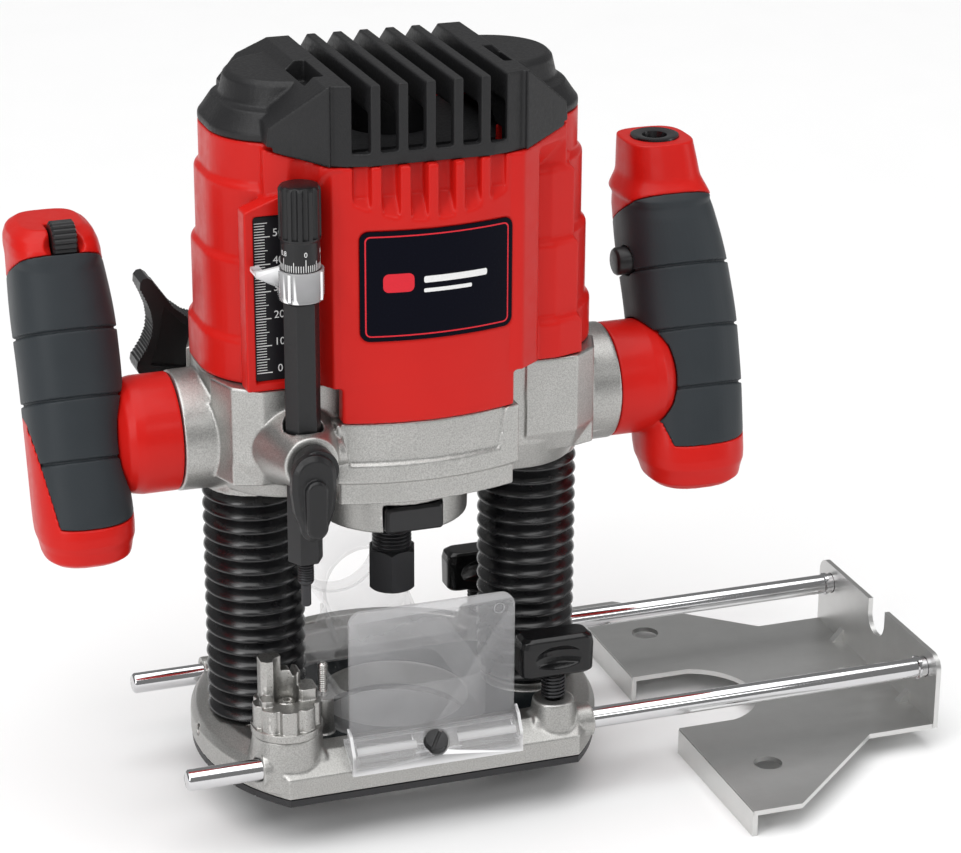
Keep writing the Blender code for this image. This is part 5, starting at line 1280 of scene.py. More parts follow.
def motor_housing():
    """Red casing: stepped sides over the columns, bowed front and rear, and a recess for the scale."""
    housing = loft("housing", tier_rings())
    low, top_z = BRACKET_TOP_Z + GAP, CAP_FRONT_BOTTOM_Z - GAP
    for end, side in ENDS:
        face = prism(f"face_{end}", front_outline(FRONT_HALF_X, side=side), low, top_z)
        right = [(0.0350, side * 0.0462), (0.0430, side * 0.0400), (0.0440, 0)]
        left = [(-x, y) for x, y in reversed(right)]
        if end == "front":
            left = [(-0.0412, 0), (-0.0412, -0.0362), (-0.0385, -0.0392), (-0.0352, -0.0450)]
        join(housing, face, prism(f"shoulder_{end}", left + right, low, top_z))
        apron = prism(f"apron_{end}", front_outline(0.0322, 0.0001, side), FRONT_SPLIT_Z + GAP, 0.1600)
        cut(apron, box(f"apron_waste_{end}", (-0.0500, -0.0393, 0.1300), (0.0500, 0.0393, 0.1620)))
        brow_top = [(-0.0560, side * 0.0326), (-0.0350, side * 0.0462), (0.0350, side * 0.0462)]
        brow_top += [(0.0560, side * 0.0326), (0.0560, 0), (-0.0560, 0)]
        brow_low = [(x, math.copysign(min(abs(y), 0.0330), y)) for x, y in brow_top]
        rings = [
            at_height(brow_low, 0.2200),
            at_height(brow_top, top_z),
            at_height(brow_top, HOUSING_TOP_Z),
        ]
        brow = loft(f"brow_{end}", rings)
        rise = HOUSING_TOP_Z - 0.0012
        seat = [(0.0345, top_z), (0.0555, rise), (0.0800, rise), (0.0800, CAP_TOP_Z)]
        seat += [(-x, z) for x, z in reversed(seat)]
        cut(brow, prism(f"brow_seat_{end}", seat, -0.0500, 0.0500, axis="Y"))
        join(housing, apron, brow)
    frame_outline = [
        (-0.0650, low), (-0.0405, low), (-0.0405, 0.2330), (-0.0560, 0.2275), (-0.0650, 0.2240),
    ]
    join(housing, prism("scale_frame", frame_outline, -0.0384, -0.0300, axis="Y"))
    for name, side in SIDES:
        for end, way in ENDS:
            if (name, end) == ("left", "front"):
                continue
            for i, (start, stop) in enumerate(zip((low, *TIER_STEPS_Z), (*TIER_STEPS_Z, top_z - 0.004))):
                x = 0.0560 - 0.0012 * i
                y = HOUSING_HALF_Y + 0.0016 - i * TIER_INSET
                plan = [
                    (0.0380, 0.0300), (0.0380, y), (x - 0.0040, y), (x + 0.0060, y - 0.0030),
                    (x + 0.0060, 0.0300),
                ]
                plan = [(side * u, way * v) for u, v in plan]
                shelf = [
                    (
                        side * min(abs(u), 0.0600 - 0.0012 * i),
                        math.copysign(min(abs(v), y - 0.0010), v),
                    )
                    for u, v in plan
                ]
                rings = [at_height(plan, start), at_height(plan, stop - 0.0022), at_height(shelf, stop)]
                join(housing, loft(f"pilaster_{name}_{end}_{i}", rings))
    wall = 0.0032
    cut(
        housing,
        upright("stator_space", 0, 0, 0.150, 0.260, 0.0425, steps=64),
        loft("cavity", [at_height(body_outline(wall + 3 * TIER_INSET), z) for z in (0.1500, 0.2600)]),
        box("motor_space", (-0.0295, -0.0440, 0.1590), (0.0295, 0.0440, 0.2600)),
    )
    for name, side in SIDES:
        cut(housing, upright(f"column_space_{name}", side * COLUMN_X, 0, 0.150, 0.260, 0.0113))
    cut(
        housing,
        upright("knob_channel", DEPTH_ROD_X, DEPTH_ROD_Y, 0.2100, 0.2420, 0.0080),
        box("scale_recess", (-0.0618, -0.0390, 0.1612), (-0.0418, -0.0359, 0.2222)),
    )
    badge = prism(
        "badge_recess",
        rounded_rectangle(0.0287, 0.0204, 0.0035, 8, (0.0022, 0.1960)),
        -0.0600,
        -0.0400,
        axis="Y",
    )
    cut(badge, prism("badge_back", front_outline(0.0320, inset=0.0008), 0.1400, 0.2400))
    cut(housing, badge)
    for i, x in enumerate(SLOT_XS):
        for end, side in ENDS:
            groove = [(0.0530, 0.2155), (0.0530, 0.2500), (0.0440, 0.2500), (0.0452, 0.2280)]
            groove = [(side * y, z) for y, z in groove]
            left_x, right_x = x - SLOT_WIDTH / 2, x + SLOT_WIDTH / 2
            cut(housing, prism(f"vent_groove_{i}_{end}", groove, left_x, right_x, axis="X"))
    finish_piece("motor_housing_fine", housing, "red_plastic", ["motor_housing"], grid=(0.0006, 5, 0.30))


def slot_shade_baffle():
    """Black plate across the casing below the slots, with the fan and commutator under it: painted shade, a
    dark sheet where the red casing's inside only lies in shade behind the slots.
    """
    z = HOUSING_TOP_Z - 0.0060
    outline = rounded_rectangle(0.0640, 0.0300, 0.0200, 12)
    holes = [polygon((0, 0), 0.0160, 48)]
    finish_piece(
        "slot_shade_baffle",
        prism("baffle", outline, z, z + 0.0012, holes=holes),
        "black_plastic",
        body="motor_unit",
    )
    # The black lining is painted shade too: a dark sheet inside the red casing, which looks dark behind the
    # slots only from shade.
    lining = prism(
        "lining",
        rounded_rectangle(0.0290, 0.0436, 0.0050, 8),
        0.2180,
        z,
        holes=[rounded_rectangle(0.0283, 0.0429, 0.0045, 8)],
    )
    cut(lining, upright("lining_bore", 0, 0, 0.2, 0.26, 0.0300, steps=64))
    finish_piece("slot_shade_lining", lining, "black_plastic", body="motor_unit")


def front_strip(name, outline, outer, inner):
    """A thin layer that lies on the bowed front: the outline, between two depths in front of it."""
    strip = prism(name, outline, -0.0600, -0.0400, axis="Y")
    boolean(strip, prism(name + "_outer", front_outline(0.0330, inset=outer), 0.1400, 0.2600), "INTERSECT")
    cut(strip, prism(name + "_inner", front_outline(0.0335, inset=inner), 0.1300, 0.2650))
    return strip


def badge_plate():
    """Label curved to the front face, with a thin red border and plain bars in place of lettering."""
    centre = (0.0022, 0.1960)
    plate = front_strip("plate", rounded_rectangle(0.0284, 0.0201, 0.0033, 8, centre), -0.0003, 0.0005)
    finish_piece("badge_plate_fine", plate, "navy_label", ["badge_plate"])
    border = front_strip("border", rounded_rectangle(0.0268, 0.0185, 0.0020, 6, centre), -0.00036, -0.0002)
    cut(
        border,
        prism("border_in", rounded_rectangle(0.0263, 0.0180, 0.0016, 6, centre), -0.07, -0.03, axis="Y"),
    )
    finish_piece("badge_border", border, "red_print", body="motor_unit")
    bars = (
        (-0.0150, 0.0055, 0.0012, 0.0034), (0.0060, 0.0120, 0.0018, 0.0012),
        (0.0030, 0.0090, -0.0022, 0.0007),
    )
    for i, (x, half_x, z, half_z) in enumerate(bars):
        middle = (centre[0] + x, centre[1] + z)
        bar = front_strip(
            "bar",
            rounded_rectangle(half_x, half_z, half_z * 0.6, 6, middle),
            -0.00036,
            -0.0002,
        )
        finish_piece(
            f"badge_bar_{i}",
            bar,
            "red_print" if i == 0 else "white_print",
            body="motor_unit",
        )


def depth_scale():
    """Black millimetre scale: a rounded plate with white ticks and the tens in figures."""
    low_x, high_x, low_z, high_z = -0.0615, -0.0421, 0.1615, 0.2219
    front = -0.0368
    centre = ((low_x + high_x) / 2, (low_z + high_z) / 2)
    outline = rounded_rectangle((high_x - low_x) / 2, (high_z - low_z) / 2, 0.0010, 4, centre)
    plate = prism("plate", outline, front, -0.0362, axis="Y")
    finish_piece("depth_scale_fine", plate, "black_scale", ["depth_scale"], bevel=0.00015)
    zero_z = low_z + 0.0030
    marks = []
    for i in range(56):
        length = 0.0056 if i % 10 == 0 else 0.0047 if i % 5 == 0 else 0.0037
        half = 0.00017 if i % 10 == 0 else 0.00013
        z = zero_z + 0.001 * i
        marks.append(
            box(
                f"tick_{i}",
                (low_x + 0.0005, front - 0.00005, z - half),
                (low_x + 0.0005 + length, front, z + half),
            ),
        )
    for i in range(6):
        figures = digits(f"figure_{i}", str(10 * i), 0.0029, 0.00006)
        figures.data.transform(
            Matrix.Translation((low_x + 0.0090, front - 0.00002, zero_z + 0.0012 + 0.01 * i)),
        )
        marks.append(figures)
    finish_piece(
        "scale_marks",
        combined("marks", marks),
        "white_print",
        body="motor_unit",
    )


def lobed_outline(inset):
    """The body drawn in, with half-round ends over the columns."""
    half_y = HOUSING_HALF_Y - inset
    return rounded_rectangle(HOUSING_HALF_X - inset, half_y, half_y - 0.0004, 16)


def top_cap():
    """Black cap: slats over the air intake and a rounded lobe over each column."""
    low = HOUSING_TOP_Z + GAP
    inset = 3 * TIER_INSET
    cap = loft(
        "cap",
        [
            at_height(body_outline(inset), low),
            at_height(body_outline(inset), low + 0.0025),
            at_height(body_outline(inset + 0.0012), low + 0.0040),
            at_height(body_outline(inset + 0.0048), 0.2550),
            at_height(body_outline(inset + 0.0058), 0.2552),
            at_height(lobed_outline(inset + 0.0066), 0.2560),
            at_height(lobed_outline(inset + 0.0082), 0.2630),
            at_height(lobed_outline(inset + 0.0100), 0.2648),
        ],
    )
    block = [
        (-0.0555, low - 0.0012), (-0.0345, CAP_FRONT_BOTTOM_Z), (0.0345, CAP_FRONT_BOTTOM_Z),
        (0.0555, low - 0.0012), (0.0545, 0.2530), (0.0370, CAP_TOP_Z), (-0.0370, CAP_TOP_Z),
        (-0.0545, 0.2530),
    ]
    crown = prism("crown", block, -0.0480, 0.0480, axis="Y")
    plan = [(-0.0560, -0.0335), (-0.0550, -0.0352), (-0.0360, -0.0462)]
    plan += arc((0, FRONT_ARC_RADIUS - FRONT_Y), FRONT_ARC_RADIUS, -90 - 21, -90 + 21, 32)
    plan += [(0.0360, -0.0462), (0.0550, -0.0352), (0.0560, -0.0335)]
    plan += [(x, -y) for x, y in reversed(plan)]
    boolean(crown, prism("plan", plan, 0.23, 0.28), "INTERSECT")
    back_chamfer = [(0.0300, 0.2700), (0.0300, CAP_TOP_Z), (0.0520, 0.2520), (0.0520, 0.2700)]
    front_edge = [(-0.0480, 0.2700), (-0.0520, 0.2630), (-0.0520, 0.2700)]
    cut(
        crown,
        prism("back_chamfer", back_chamfer, -0.06, 0.06, axis="X"),
        prism("front_edge", front_edge, -0.06, 0.06, axis="X"),
        box("under_waste", (-0.08, -0.0360, 0.23), (0.08, 0.0360, low)),
    )
    join(cap, crown)
    wall = 0.0032
    hollow = loft(
        "hollow",
        [
            at_height(body_outline(inset + wall), 0.2300),
            at_height(body_outline(inset + wall), low + 0.0010),
            at_height(body_outline(inset + wall + 0.0060), 0.2515),
        ],
    )
    cut(cap, hollow, box("front_hollow", (-0.0300, -0.0440, 0.2300), (0.0300, 0.0440, 0.2575)))
    join(cap, upright("holder", 0, 0, 0.2265, 0.2600, 0.0140))
    cut(cap, upright("bearing_hole", 0, 0, 0.2000, 0.2520, 0.0108))
    for i, x in enumerate(SLOT_XS):
        low_x, high_x = x - SLOT_WIDTH / 2, x + SLOT_WIDTH / 2
        cut(
            cap,
            box(f"top_slot_{i}", (low_x, -0.0520, 0.2535), (high_x, 0.0440, 0.2800)),
            box(f"front_slot_{i}", (low_x, -0.0560, 0.2440), (high_x, -0.0400, 0.2700)),
        )
    for name, side in SIDES:
        low_x, high_x = span(side, 0.0330, 0.0400)
        cut(cap, box(f"lobe_slot_{name}", (low_x, -0.0300, 0.2600), (high_x, -0.0060, 0.2700)))
        seam_x = side * 0.0478
        cut(
            cap,
            box(f"seam_{name}", (seam_x - 0.0003, -0.0600, 0.2440), (seam_x + 0.0003, -0.0392, 0.2560)),
        )
    finish_piece("top_cap_fine", cap, "black_plastic", ["top_cap"], grid=(0.0005, 4, 0.35))


# ---------------------------------------------------------------- spindle end


def spindle_end():
    """Threaded spindle with the collet and its black hexagon nut, and the spindle lock above it."""
    profile = [
        (0, 0.2380), (0.0040, 0.2380), (0.0040, 0.2270), (0.0050, 0.2262), (0.0050, 0.1380),
        (0.0085, 0.1370), (0.0085, 0.0930),
    ]
    pitch, z = 0.0015, 0.0925
    while z > SPINDLE_BOTTOM_Z + pitch:
        profile += [
            (SPINDLE_RADIUS - 0.0006, z), (SPINDLE_RADIUS, z - 0.4 * pitch),
            (SPINDLE_RADIUS, z - 0.6 * pitch),
        ]
        z -= pitch
    profile += [
        (SPINDLE_RADIUS - 0.0006, SPINDLE_BOTTOM_Z), (0.0064, SPINDLE_BOTTOM_Z), (0.0064, 0.0950),
        (0, 0.0950),
    ]
    finish_piece("spindle_shaft_fine", turned("shaft", profile, steps=64), "black_steel", ["spindle_shaft"])

    collet = turned(
        "collet",
        [(0.0059, 0.0900), (0.0059, 0.0625), (0.0050, 0.0598), (0.0040, 0.0598), (0.0040, 0.0900)],
        steps=64,
        closed=True,
    )
    for i in range(4):
        slit = box(f"slit_{i}", (0.0030, -0.0003, 0.0560), (0.0075, 0.0003, 0.0780))
        slit.data.transform(Matrix.Rotation(math.radians(45 + 90 * i), 4, "Z"))
        cut(collet, slit)
    finish_piece("collet_fine", collet, "turned_steel", ["collet"])

    corner = NUT_FLATS / math.sqrt(3)
    nut = prism("nut", polygon((0, 0), corner, 6, 12), NUT_BOTTOM_Z, NUT_TOP_Z)
    chamfer = [
        (0, NUT_TOP_Z + 0.001), (corner - 0.0026, NUT_TOP_Z + 0.001),
        (corner + 0.0006, NUT_TOP_Z - 0.0016), (corner + 0.0006, NUT_BOTTOM_Z + 0.0020),
        (corner - 0.0022, NUT_BOTTOM_Z - 0.001), (0, NUT_BOTTOM_Z - 0.001),
    ]
    boolean(nut, turned("chamfer", chamfer, steps=96), "INTERSECT")
    cut(
        nut,
        upright("nut_thread", 0, 0, 0.0675, 0.0800, SPINDLE_RADIUS + GAP),
        upright("nut_mouth", 0, 0, 0.0500, 0.0700, 0.0062),
    )
    finish_piece("collet_nut_fine", nut, "black_steel", ["collet_nut"], bevel=0.00025)

    rings = []
    for y, inset in ((-0.0292, 0.0010), (-0.0286, 0.0003), (-0.0280, 0), (-0.0160, 0)):
        outline = rounded_rectangle(0.0111 - inset, 0.0050 - inset, 0.0014, 6, (0, 0.0976))
        rings.append([(x, y, z) for x, z in outline])
    lock = loft("lock", rings)
    join(lock, cylinder("lock_pin", (0, -0.0170, 0.0976), (0, -0.0125, 0.0976), 0.0020))
    finish_piece(
        "spindle_lock_fine",
        lock,
        "satin_black",
        ["spindle_lock"],
        bevel=0.0002,
    )


# ---------------------------------------------------------------- depth stop


def wrapped(obj, radius, centre, start):
    """Bends flat work that faces -Y round an upright cylinder, its X as arc length from start degrees."""
    for vertex in obj.data.vertices:
        x, y, z = vertex.co
        angle = math.radians(start) + x / radius
        reach = radius - y
        vertex.co = (centre[0] + reach * math.cos(angle), centre[1] + reach * math.sin(angle), z)
    return obj


def depth_rod():
    x, y = DEPTH_ROD_X, DEPTH_ROD_Y
    corner = DEPTH_ROD_FLATS / math.sqrt(3)
    rod = prism("rod", polygon((x, y), corner, 6), DEPTH_ROD_BOTTOM_Z, 0.1930)
    join(rod, upright("rod_spindle", x, y, 0.190, 0.2200, 0.0025))
    cut(rod, upright("pin_bore", x, y, 0.090, 0.120, DEPTH_PIN_RADIUS + GAP))
    finish_piece("depth_rod_fine", rod, "satin_black", ["depth_rod"], bevel=0.0004)

    profile = [(0, 0.1120), (DEPTH_PIN_RADIUS - 0.0003, 0.1120)]
    pitch, z = 0.0010, 0.1115
    while z > 0.0865:
        profile += [
            (DEPTH_PIN_RADIUS - 0.0004, z), (DEPTH_PIN_RADIUS, z - 0.4 * pitch),
            (DEPTH_PIN_RADIUS, z - 0.6 * pitch),
        ]
        z -= pitch
    profile += [
        (0.0024, 0.0858), (0.0018, 0.0852), (0.0018, DEPTH_TIP_Z + 0.0004), (0.0014, DEPTH_TIP_Z),
        (0, DEPTH_TIP_Z),
    ]
    pin = turned("pin", profile, (x, y, 0), 48)
    finish_piece("depth_pin_fine", pin, "black_steel", ["depth_pin"])


def depth_pointer():
    """Clear collar under the knob, with a tapered arm whose tongue reaches in to the scale."""
    x, y = DEPTH_ROD_X, DEPTH_ROD_Y
    profile = [
        (0.0082, 0.2050), (0.0082, 0.1958), (0.0076, 0.1938), (0.0030, 0.1938), (0.0030, 0.1950),
        (0.0073, 0.1950), (0.0073, 0.2050),
    ]
    pointer = turned("pointer", profile, (x, y, 0), 72, closed=True)
    for i in range(4):
        angle = math.radians(45 + 90 * i)
        px, py = x + 0.0081 * math.cos(angle), y + 0.0081 * math.sin(angle)
        join(pointer, upright(f"pointer_rib_{i}", px, py, 0.1946, 0.2046, 0.0006, steps=12))
    arm = [(-0.0548, 0.1985), (-0.0632, 0.2030), (-0.0632, 0.2050), (-0.0548, 0.2062)]
    join(
        pointer,
        prism("arm", arm, y - 0.0008, y + 0.0008, axis="Y"),
        box("tongue", (-0.0632, y - 0.0006, 0.2032), (-0.0600, -0.0382, 0.2048)),
    )
    finish_piece("depth_pointer_fine", pointer, "clear_plastic", ["depth_pointer"], bevel=0.0002)


def fine_adjust_knob():
    """Fluted knob over a plain ring that carries a graduation of tenths."""
    x, y = DEPTH_ROD_X, DEPTH_ROD_Y
    profile = [
        (0, 0.2352), (0.0056, 0.2352), (0.0068, 0.2348), (0.0074, 0.2338), (0.0074, 0.2160),
        (0.0070, 0.2154), (0.0069, 0.2150), (0.0069, 0.1956), (0.0028, 0.1956), (0.0028, 0.2215),
        (0, 0.2215),
    ]
    knob = turned("knob", profile, (x, y, 0), 96)
    for i in range(12):
        angle = math.radians(30 * i)
        px, py = x + 0.0078 * math.cos(angle), y + 0.0078 * math.sin(angle)
        cut(knob, upright(f"flute_{i}", px, py, 0.2166, 0.2380, 0.0013, steps=16))
    node = "fine_adjust_knob"
    finish_piece(node + "_fine", knob, "satin_black", [node], bevel=0.0002)

    radius = 0.0069
    marks = []
    for i in range(50):
        arc_place = 2 * math.pi * radius * i / 50
        height = 0.0046 if i % 10 == 0 else 0.0036 if i % 5 == 0 else 0.0024
        tick = box(
            f"tick_{i}",
            (arc_place - 0.00013, -0.00005, 0.2052),
            (arc_place + 0.00013, 0.00002, 0.2052 + height),
        )
        marks.append(wrapped(tick, radius, (x, y), -90))
    for i in range(5):
        figures = digits(f"figure_{i}", "0" if i == 0 else f"0.{2 * i}", 0.0019, 0.00008)
        figures.data.transform(Matrix.Translation((2 * math.pi * radius * i / 5, 0, 0.2115)))
        marks.append(wrapped(figures, radius, (x, y), -90))
    finish_piece(
        "knob_marks",
        combined("marks", marks),
        "white_print",
        body="fine_adjust_knob",
    )


def depth_clamp():
    """Wing knob: an egg-shaped wing with a raised rib, on a hub and stud."""
    x = DEPTH_ROD_X
    y = DEPTH_CLAMP_Y
    clamp = cylinder("stud", (x, y + 0.0046, DEPTH_BOSS_Z), (x, y - 0.0040, DEPTH_BOSS_Z), 0.0030)
    hub = cylinder("hub", (x, y - GAP, DEPTH_BOSS_Z), (x, y - 0.0070, DEPTH_BOSS_Z), 0.0078)

    u = x - 0.0018

    def wing(inset):
        points = arc((u, 0.1345), 0.0080 - inset, 0, 180, 20)
        points += [(u - 0.0082 + inset, 0.1290), (u - 0.0072 + inset, 0.1210)]
        points += arc((u, 0.1150), 0.0050 - inset, 180, 360, 16)
        return points + [(u + 0.0072 - inset, 0.1210), (u + 0.0082 - inset, 0.1290)]

    def rib(inset):
        points = arc((u, 0.1300), 0.0040 - inset, 0, 180, 12)
        return points + arc((u, 0.1160), 0.0038 - inset, 180, 360, 12)

    def pillow(name, outline, levels):
        return loft(name, [[(u, depth, v) for u, v in outline(inset)] for depth, inset in levels])

    join(
        clamp,
        hub,
        pillow(
            "wing",
            wing,
            ((y - 0.0042, 0.0012), (y - 0.0052, 0.0), (y - 0.0086, 0.0), (y - 0.0102, 0.0018)),
        ),
        pillow("rib", rib, ((y - 0.0090, 0.0), (y - 0.0120, 0.0), (y - 0.0128, 0.0009))),
    )
    finish_piece(
        "depth_clamp_fine",
        clamp,
        "satin_black",
        ["depth_clamp"],
        grid=(0.00024, 4, 0.5),
    )


def plunge_lever():
    """Fan-shaped lever behind the left column, its thumb edges serrated, its face dished."""
    x, z = -COLUMN_X, LEVER_Z
    hub_side = [(x + 0.0070, z - 0.0070), (x + 0.0085, z + 0.0060), (x + 0.0030, z + 0.0110)]
    top_edge = [
        (-0.0600, 0.1580), (-0.0670, 0.1608), (-0.0720, 0.1650), (-0.0760, 0.1708),
        (-0.0785, 0.1745),
    ]
    tip = [(-0.0798, 0.1767), (-0.0815, 0.1779), (-0.0832, 0.1777), (-0.0844, 0.1763)]
    left_edge = [
        (-0.0846, 0.1743), (-0.0822, 0.1690), (-0.0806, 0.1645), (-0.0800, 0.1595),
        (-0.0806, 0.1550), (-0.0825, 0.1505), (-0.0848, 0.1470), (-0.0866, 0.1445),
    ]
    foot = [
        (-0.0869, 0.1429), (-0.0864, 0.1411), (-0.0850, 0.1397), (-0.0828, 0.1389),
        (-0.0700, 0.1380), (x - 0.0020, z - 0.0090),
    ]
    outline = hub_side + serrated(top_edge) + tip + serrated(left_edge) + foot
    low, high = LEVER_LOW_Y, LEVER_HIGH_Y
    lever = prism("lever", outline, low, high, axis="Y")
    dish = [
        (-0.0620, 0.1545), (-0.0690, 0.1590), (-0.0755, 0.1662), (-0.0772, 0.1595),
        (-0.0786, 0.1520), (-0.0815, 0.1435), (-0.0680, 0.1410),
    ]
    cut(
        lever,
        prism("dish", dish, low - 0.001, low + 0.0016, axis="Y"),
        prism("dish_back", dish, high - 0.0016, high + 0.001, axis="Y"),
    )
    join(
        lever,
        cylinder("lever_hub", (x, low, z), (x, high + 0.0025, z), 0.0100),
        cylinder("lever_pin", (x, 0.0350, z), (x, low + 0.002, z), 0.0030),
    )
    cut(lever, cylinder("lever_sink", (x, high + 0.0010, z), (x, high + 0.0050, z), 0.0060))
    finish_piece(
        "plunge_lever_fine",
        lever,
        "satin_black",
        ["plunge_lever"],
        bevel=0.0003,
    )


def serrated(path, pitch=0.0013, depth=0.0004):
    """Points along a path with small teeth standing in and out of it."""
    points = []
    for (u0, v0), (u1, v1) in zip(path, path[1:]):
        along = Vector((u1 - u0, v1 - v0))
        count = max(1, round(along.length / pitch))
        across = Vector((-along.y, along.x)).normalized() * depth
        for i in range(count):
            start = Vector((u0, v0)) + along * (i / count)
            peak = start + along * (0.5 / count)
            points += [tuple(start), tuple(peak - across)]
    return points + [path[-1]]


# ---------------------------------------------------------------- handles

# (height, middle x, half width, half depth) of the handle's outer shape, bottom to top
LEFT_STATIONS = (
    (0.0930, -0.1195, 0.0130, 0.0120), (0.0950, -0.1195, 0.0165, 0.0165),
    (0.0985, -0.1195, 0.0176, 0.0188), (0.1060, -0.1193, 0.0180, 0.0200),
    (0.1300, -0.1200, 0.0172, 0.0195), (0.1550, -0.1190, 0.0182, 0.0205),
    (0.1780, -0.1195, 0.0184, 0.0205), (0.1930, -0.1202, 0.0172, 0.0195),
    (0.2040, -0.1210, 0.0162, 0.0185), (0.2080, -0.1210, 0.0146, 0.0165),
    (0.2098, -0.1210, 0.0112, 0.0128),
)
RIGHT_STATIONS = (
    (0.0930, 0.1170, 0.0150, 0.0130), (0.0955, 0.1170, 0.0190, 0.0175),
    (0.0990, 0.1170, 0.0203, 0.0195), (0.1060, 0.1170, 0.0206, 0.0203),
    (0.1300, 0.1185, 0.0206, 0.0200), (0.1550, 0.1185, 0.0206, 0.0205),
    (0.1780, 0.1165, 0.0202, 0.0205), (0.1930, 0.1150, 0.0184, 0.0200),
    (0.1995, 0.1141, 0.0176, 0.0190), (0.2030, 0.1141, 0.0160, 0.0168),
    (0.2055, 0.1141, 0.0147, 0.0152), (0.2120, 0.1141, 0.0140, 0.0146),
    (0.2188, 0.1141, 0.0131, 0.0138),
)
# (bottom of the rubber, its top edge, how far that edge leans forward, reach of the arm's round end)
LEFT_GRIP = (0.1085, 0.1850, 0.64, 0.1080)
RIGHT_GRIP = (0.1110, 0.1840, 0.68, 0.1105)



def station_at(stations, z):
    """The handle's middle and half sizes at a height, between its stations."""
    for below, above in zip(stations, stations[1:]):
        if below[0] <= z <= above[0]:
            part = (z - below[0]) / (above[0] - below[0])
            return [a + (b - a) * part for a, b in zip(below, above)]
    return stations[-1] if z > stations[-1][0] else stations[0]


def smooth_station(stations, z, reach):
    """The station at a height, averaged with its neighbours so that the sides flow."""
    low, high = stations[0][0], stations[-1][0]
    reach = min(reach, z - low, high - z)
    near = [station_at(stations, z + reach * k) for k in (-1, -0.5, 0, 0.5, 1)]
    return [z] + [sum(values) / 5 for values in list(zip(*near))[1:]]


def handle_ring(station, inset=0.0, power=2.5, steps=72):
    """A rounded section; the handle leans back as it rises."""
    z, x, half_x, half_y = station
    middle_y = (z - ARM_Z) * HANDLE_LEAN
    points = []
    for i in range(steps):
        angle = 2 * math.pi * i / steps
        cos, sin = math.cos(angle), math.sin(angle)
        u = math.copysign(abs(cos) ** (2 / power), cos) * (half_x - inset)
        v = math.copysign(abs(sin) ** (2 / power), sin) * (half_y - inset)
        points.append((x + u, middle_y + v, z))
    return points


def handle_tube(name, stations, low, high, inset=0.0):
    """The handle's shape between two heights, drawn in by an inset."""
    count = max(2, round((high - low) / 0.003))
    heights = [low + (high - low) * i / count for i in range(count + 1)]
    heights = sorted(set(heights + [s[0] for s in stations if low < s[0] < high]))
    # Above the rubber the core has flatter sides and sharper shoulders.
    crisp_z = GRIP_TOP_Z + 0.0060
    rings = [
        handle_ring(
            smooth_station(stations, z, 0.006 if z < crisp_z else 0.0015),
            inset,
            2.5 if z < crisp_z else 3.2,
        )
        for z in heights
    ]
    return loft(name, rings)


def leaning_slab(name, x, z, half, tilt):
    """A thin level slab across a handle at a height, its front edge raised by the tilt."""
    y = (z - ARM_Z) * HANDLE_LEAN
    rise = 0.05 * tilt
    outline = [
        (y - 0.05, z + rise - half), (y + 0.05, z - rise - half), (y + 0.05, z - rise + half),
        (y - 0.05, z + rise + half),
    ]
    return prism(name, outline, x - 0.05, x + 0.05, axis="X")


def arm_end(name, side, radius, tip):
    """The round end of the handle's arm, domed where it runs into the grip."""
    root = side * (ARM_END_X + GAP)
    rings = []
    for share, swell in (
        (0.0, 1.0), (0.55, 1.0), (0.70, 0.97), (0.82, 0.90), (0.92, 0.74), (0.98, 0.50),
        (1.0, 0.20),
    ):
        x = root + (side * tip - root) * share
        rings.append([(x, y, z) for y, z in polygon((0, ARM_Z), radius * swell, 96)])
    return loft(name, rings)


def bare_corner(side):
    """The wedge of the handle that the rubber leaves bare."""
    if side < 0:
        wedge = [
            (-0.1500, 0.0900), (-0.1500, 0.1500), (-0.1386, 0.1500), (-0.1305, 0.1070),
            (-0.1305, 0.0900),
        ]
    else:
        wedge = [(0.0900, 0.0900), (0.0900, 0.1230), (0.1020, 0.1190), (0.1062, 0.1080), (0.1062, 0.0900)]
    return prism("bare_corner", wedge, -0.06, 0.06, axis="Y")


def handle(name, side, stations, grip_shape):
    """Red core with its arm, and the grooved rubber grip laid over it."""
    grip_bottom, edge_z, edge_tilt, arm_tip = grip_shape
    top, middle_x = stations[-1][0], side * 0.1185
    core = handle_tube("core", stations, stations[0][0], top)
    band = handle_tube("band", stations, grip_bottom, GRIP_TOP_Z + 0.014, -0.004)
    waist = handle_tube(
        "waist",
        stations,
        grip_bottom - 0.010,
        min(top, GRIP_TOP_Z + 0.020),
        GRIP_THICKNESS,
    )
    cut(
        band,
        waist,
        leaning_slab("band_top", middle_x, edge_z + 0.0502, 0.050, edge_tilt),
        bare_corner(side),
    )
    cut(core, band)
    join(
        core,
        arm_end("arm", side, ARM_RADIUS - 0.0004, arm_tip),
        cylinder("spigot", (side * 0.0700, 0, ARM_Z), (side * 0.0900, 0, ARM_Z), 0.0085),
    )
    if side < 0:
        left_core_details(core)
    else:
        right_core_details(core)
    finish_piece(f"handle_{name}_fine", core, "red_plastic", [f"handle_{name}"], grid=(0.0005, 3, 0.35))

    grip = handle_tube("grip", stations, grip_bottom + GAP, GRIP_TOP_Z + 0.013)
    bore = handle_tube("bore", stations, grip_bottom - 0.006, GRIP_TOP_Z + 0.016, GRIP_THICKNESS - 0.0002)
    cut(grip, leaning_slab("grip_top", middle_x, edge_z + 0.0499, 0.050, edge_tilt))
    for i, z in enumerate(GROOVES_Z):
        groove = leaning_slab(f"groove_{i}", middle_x, z, 0.00065, 0.42)
        cut(groove, handle_tube(f"groove_floor_{i}", stations, z - 0.02, z + 0.02, 0.0012))
        cut(grip, groove)
    cut(grip, bore, arm_end("clearance", side, ARM_RADIUS, arm_tip + 0.0004), bare_corner(side))
    if side > 0:
        cut(grip, trigger_pocket(), button_hole())
    finish_piece(f"grip_{name}_fine", grip, "grey_rubber", [f"grip_{name}"], grid=(0.00042, 3, 0.35))


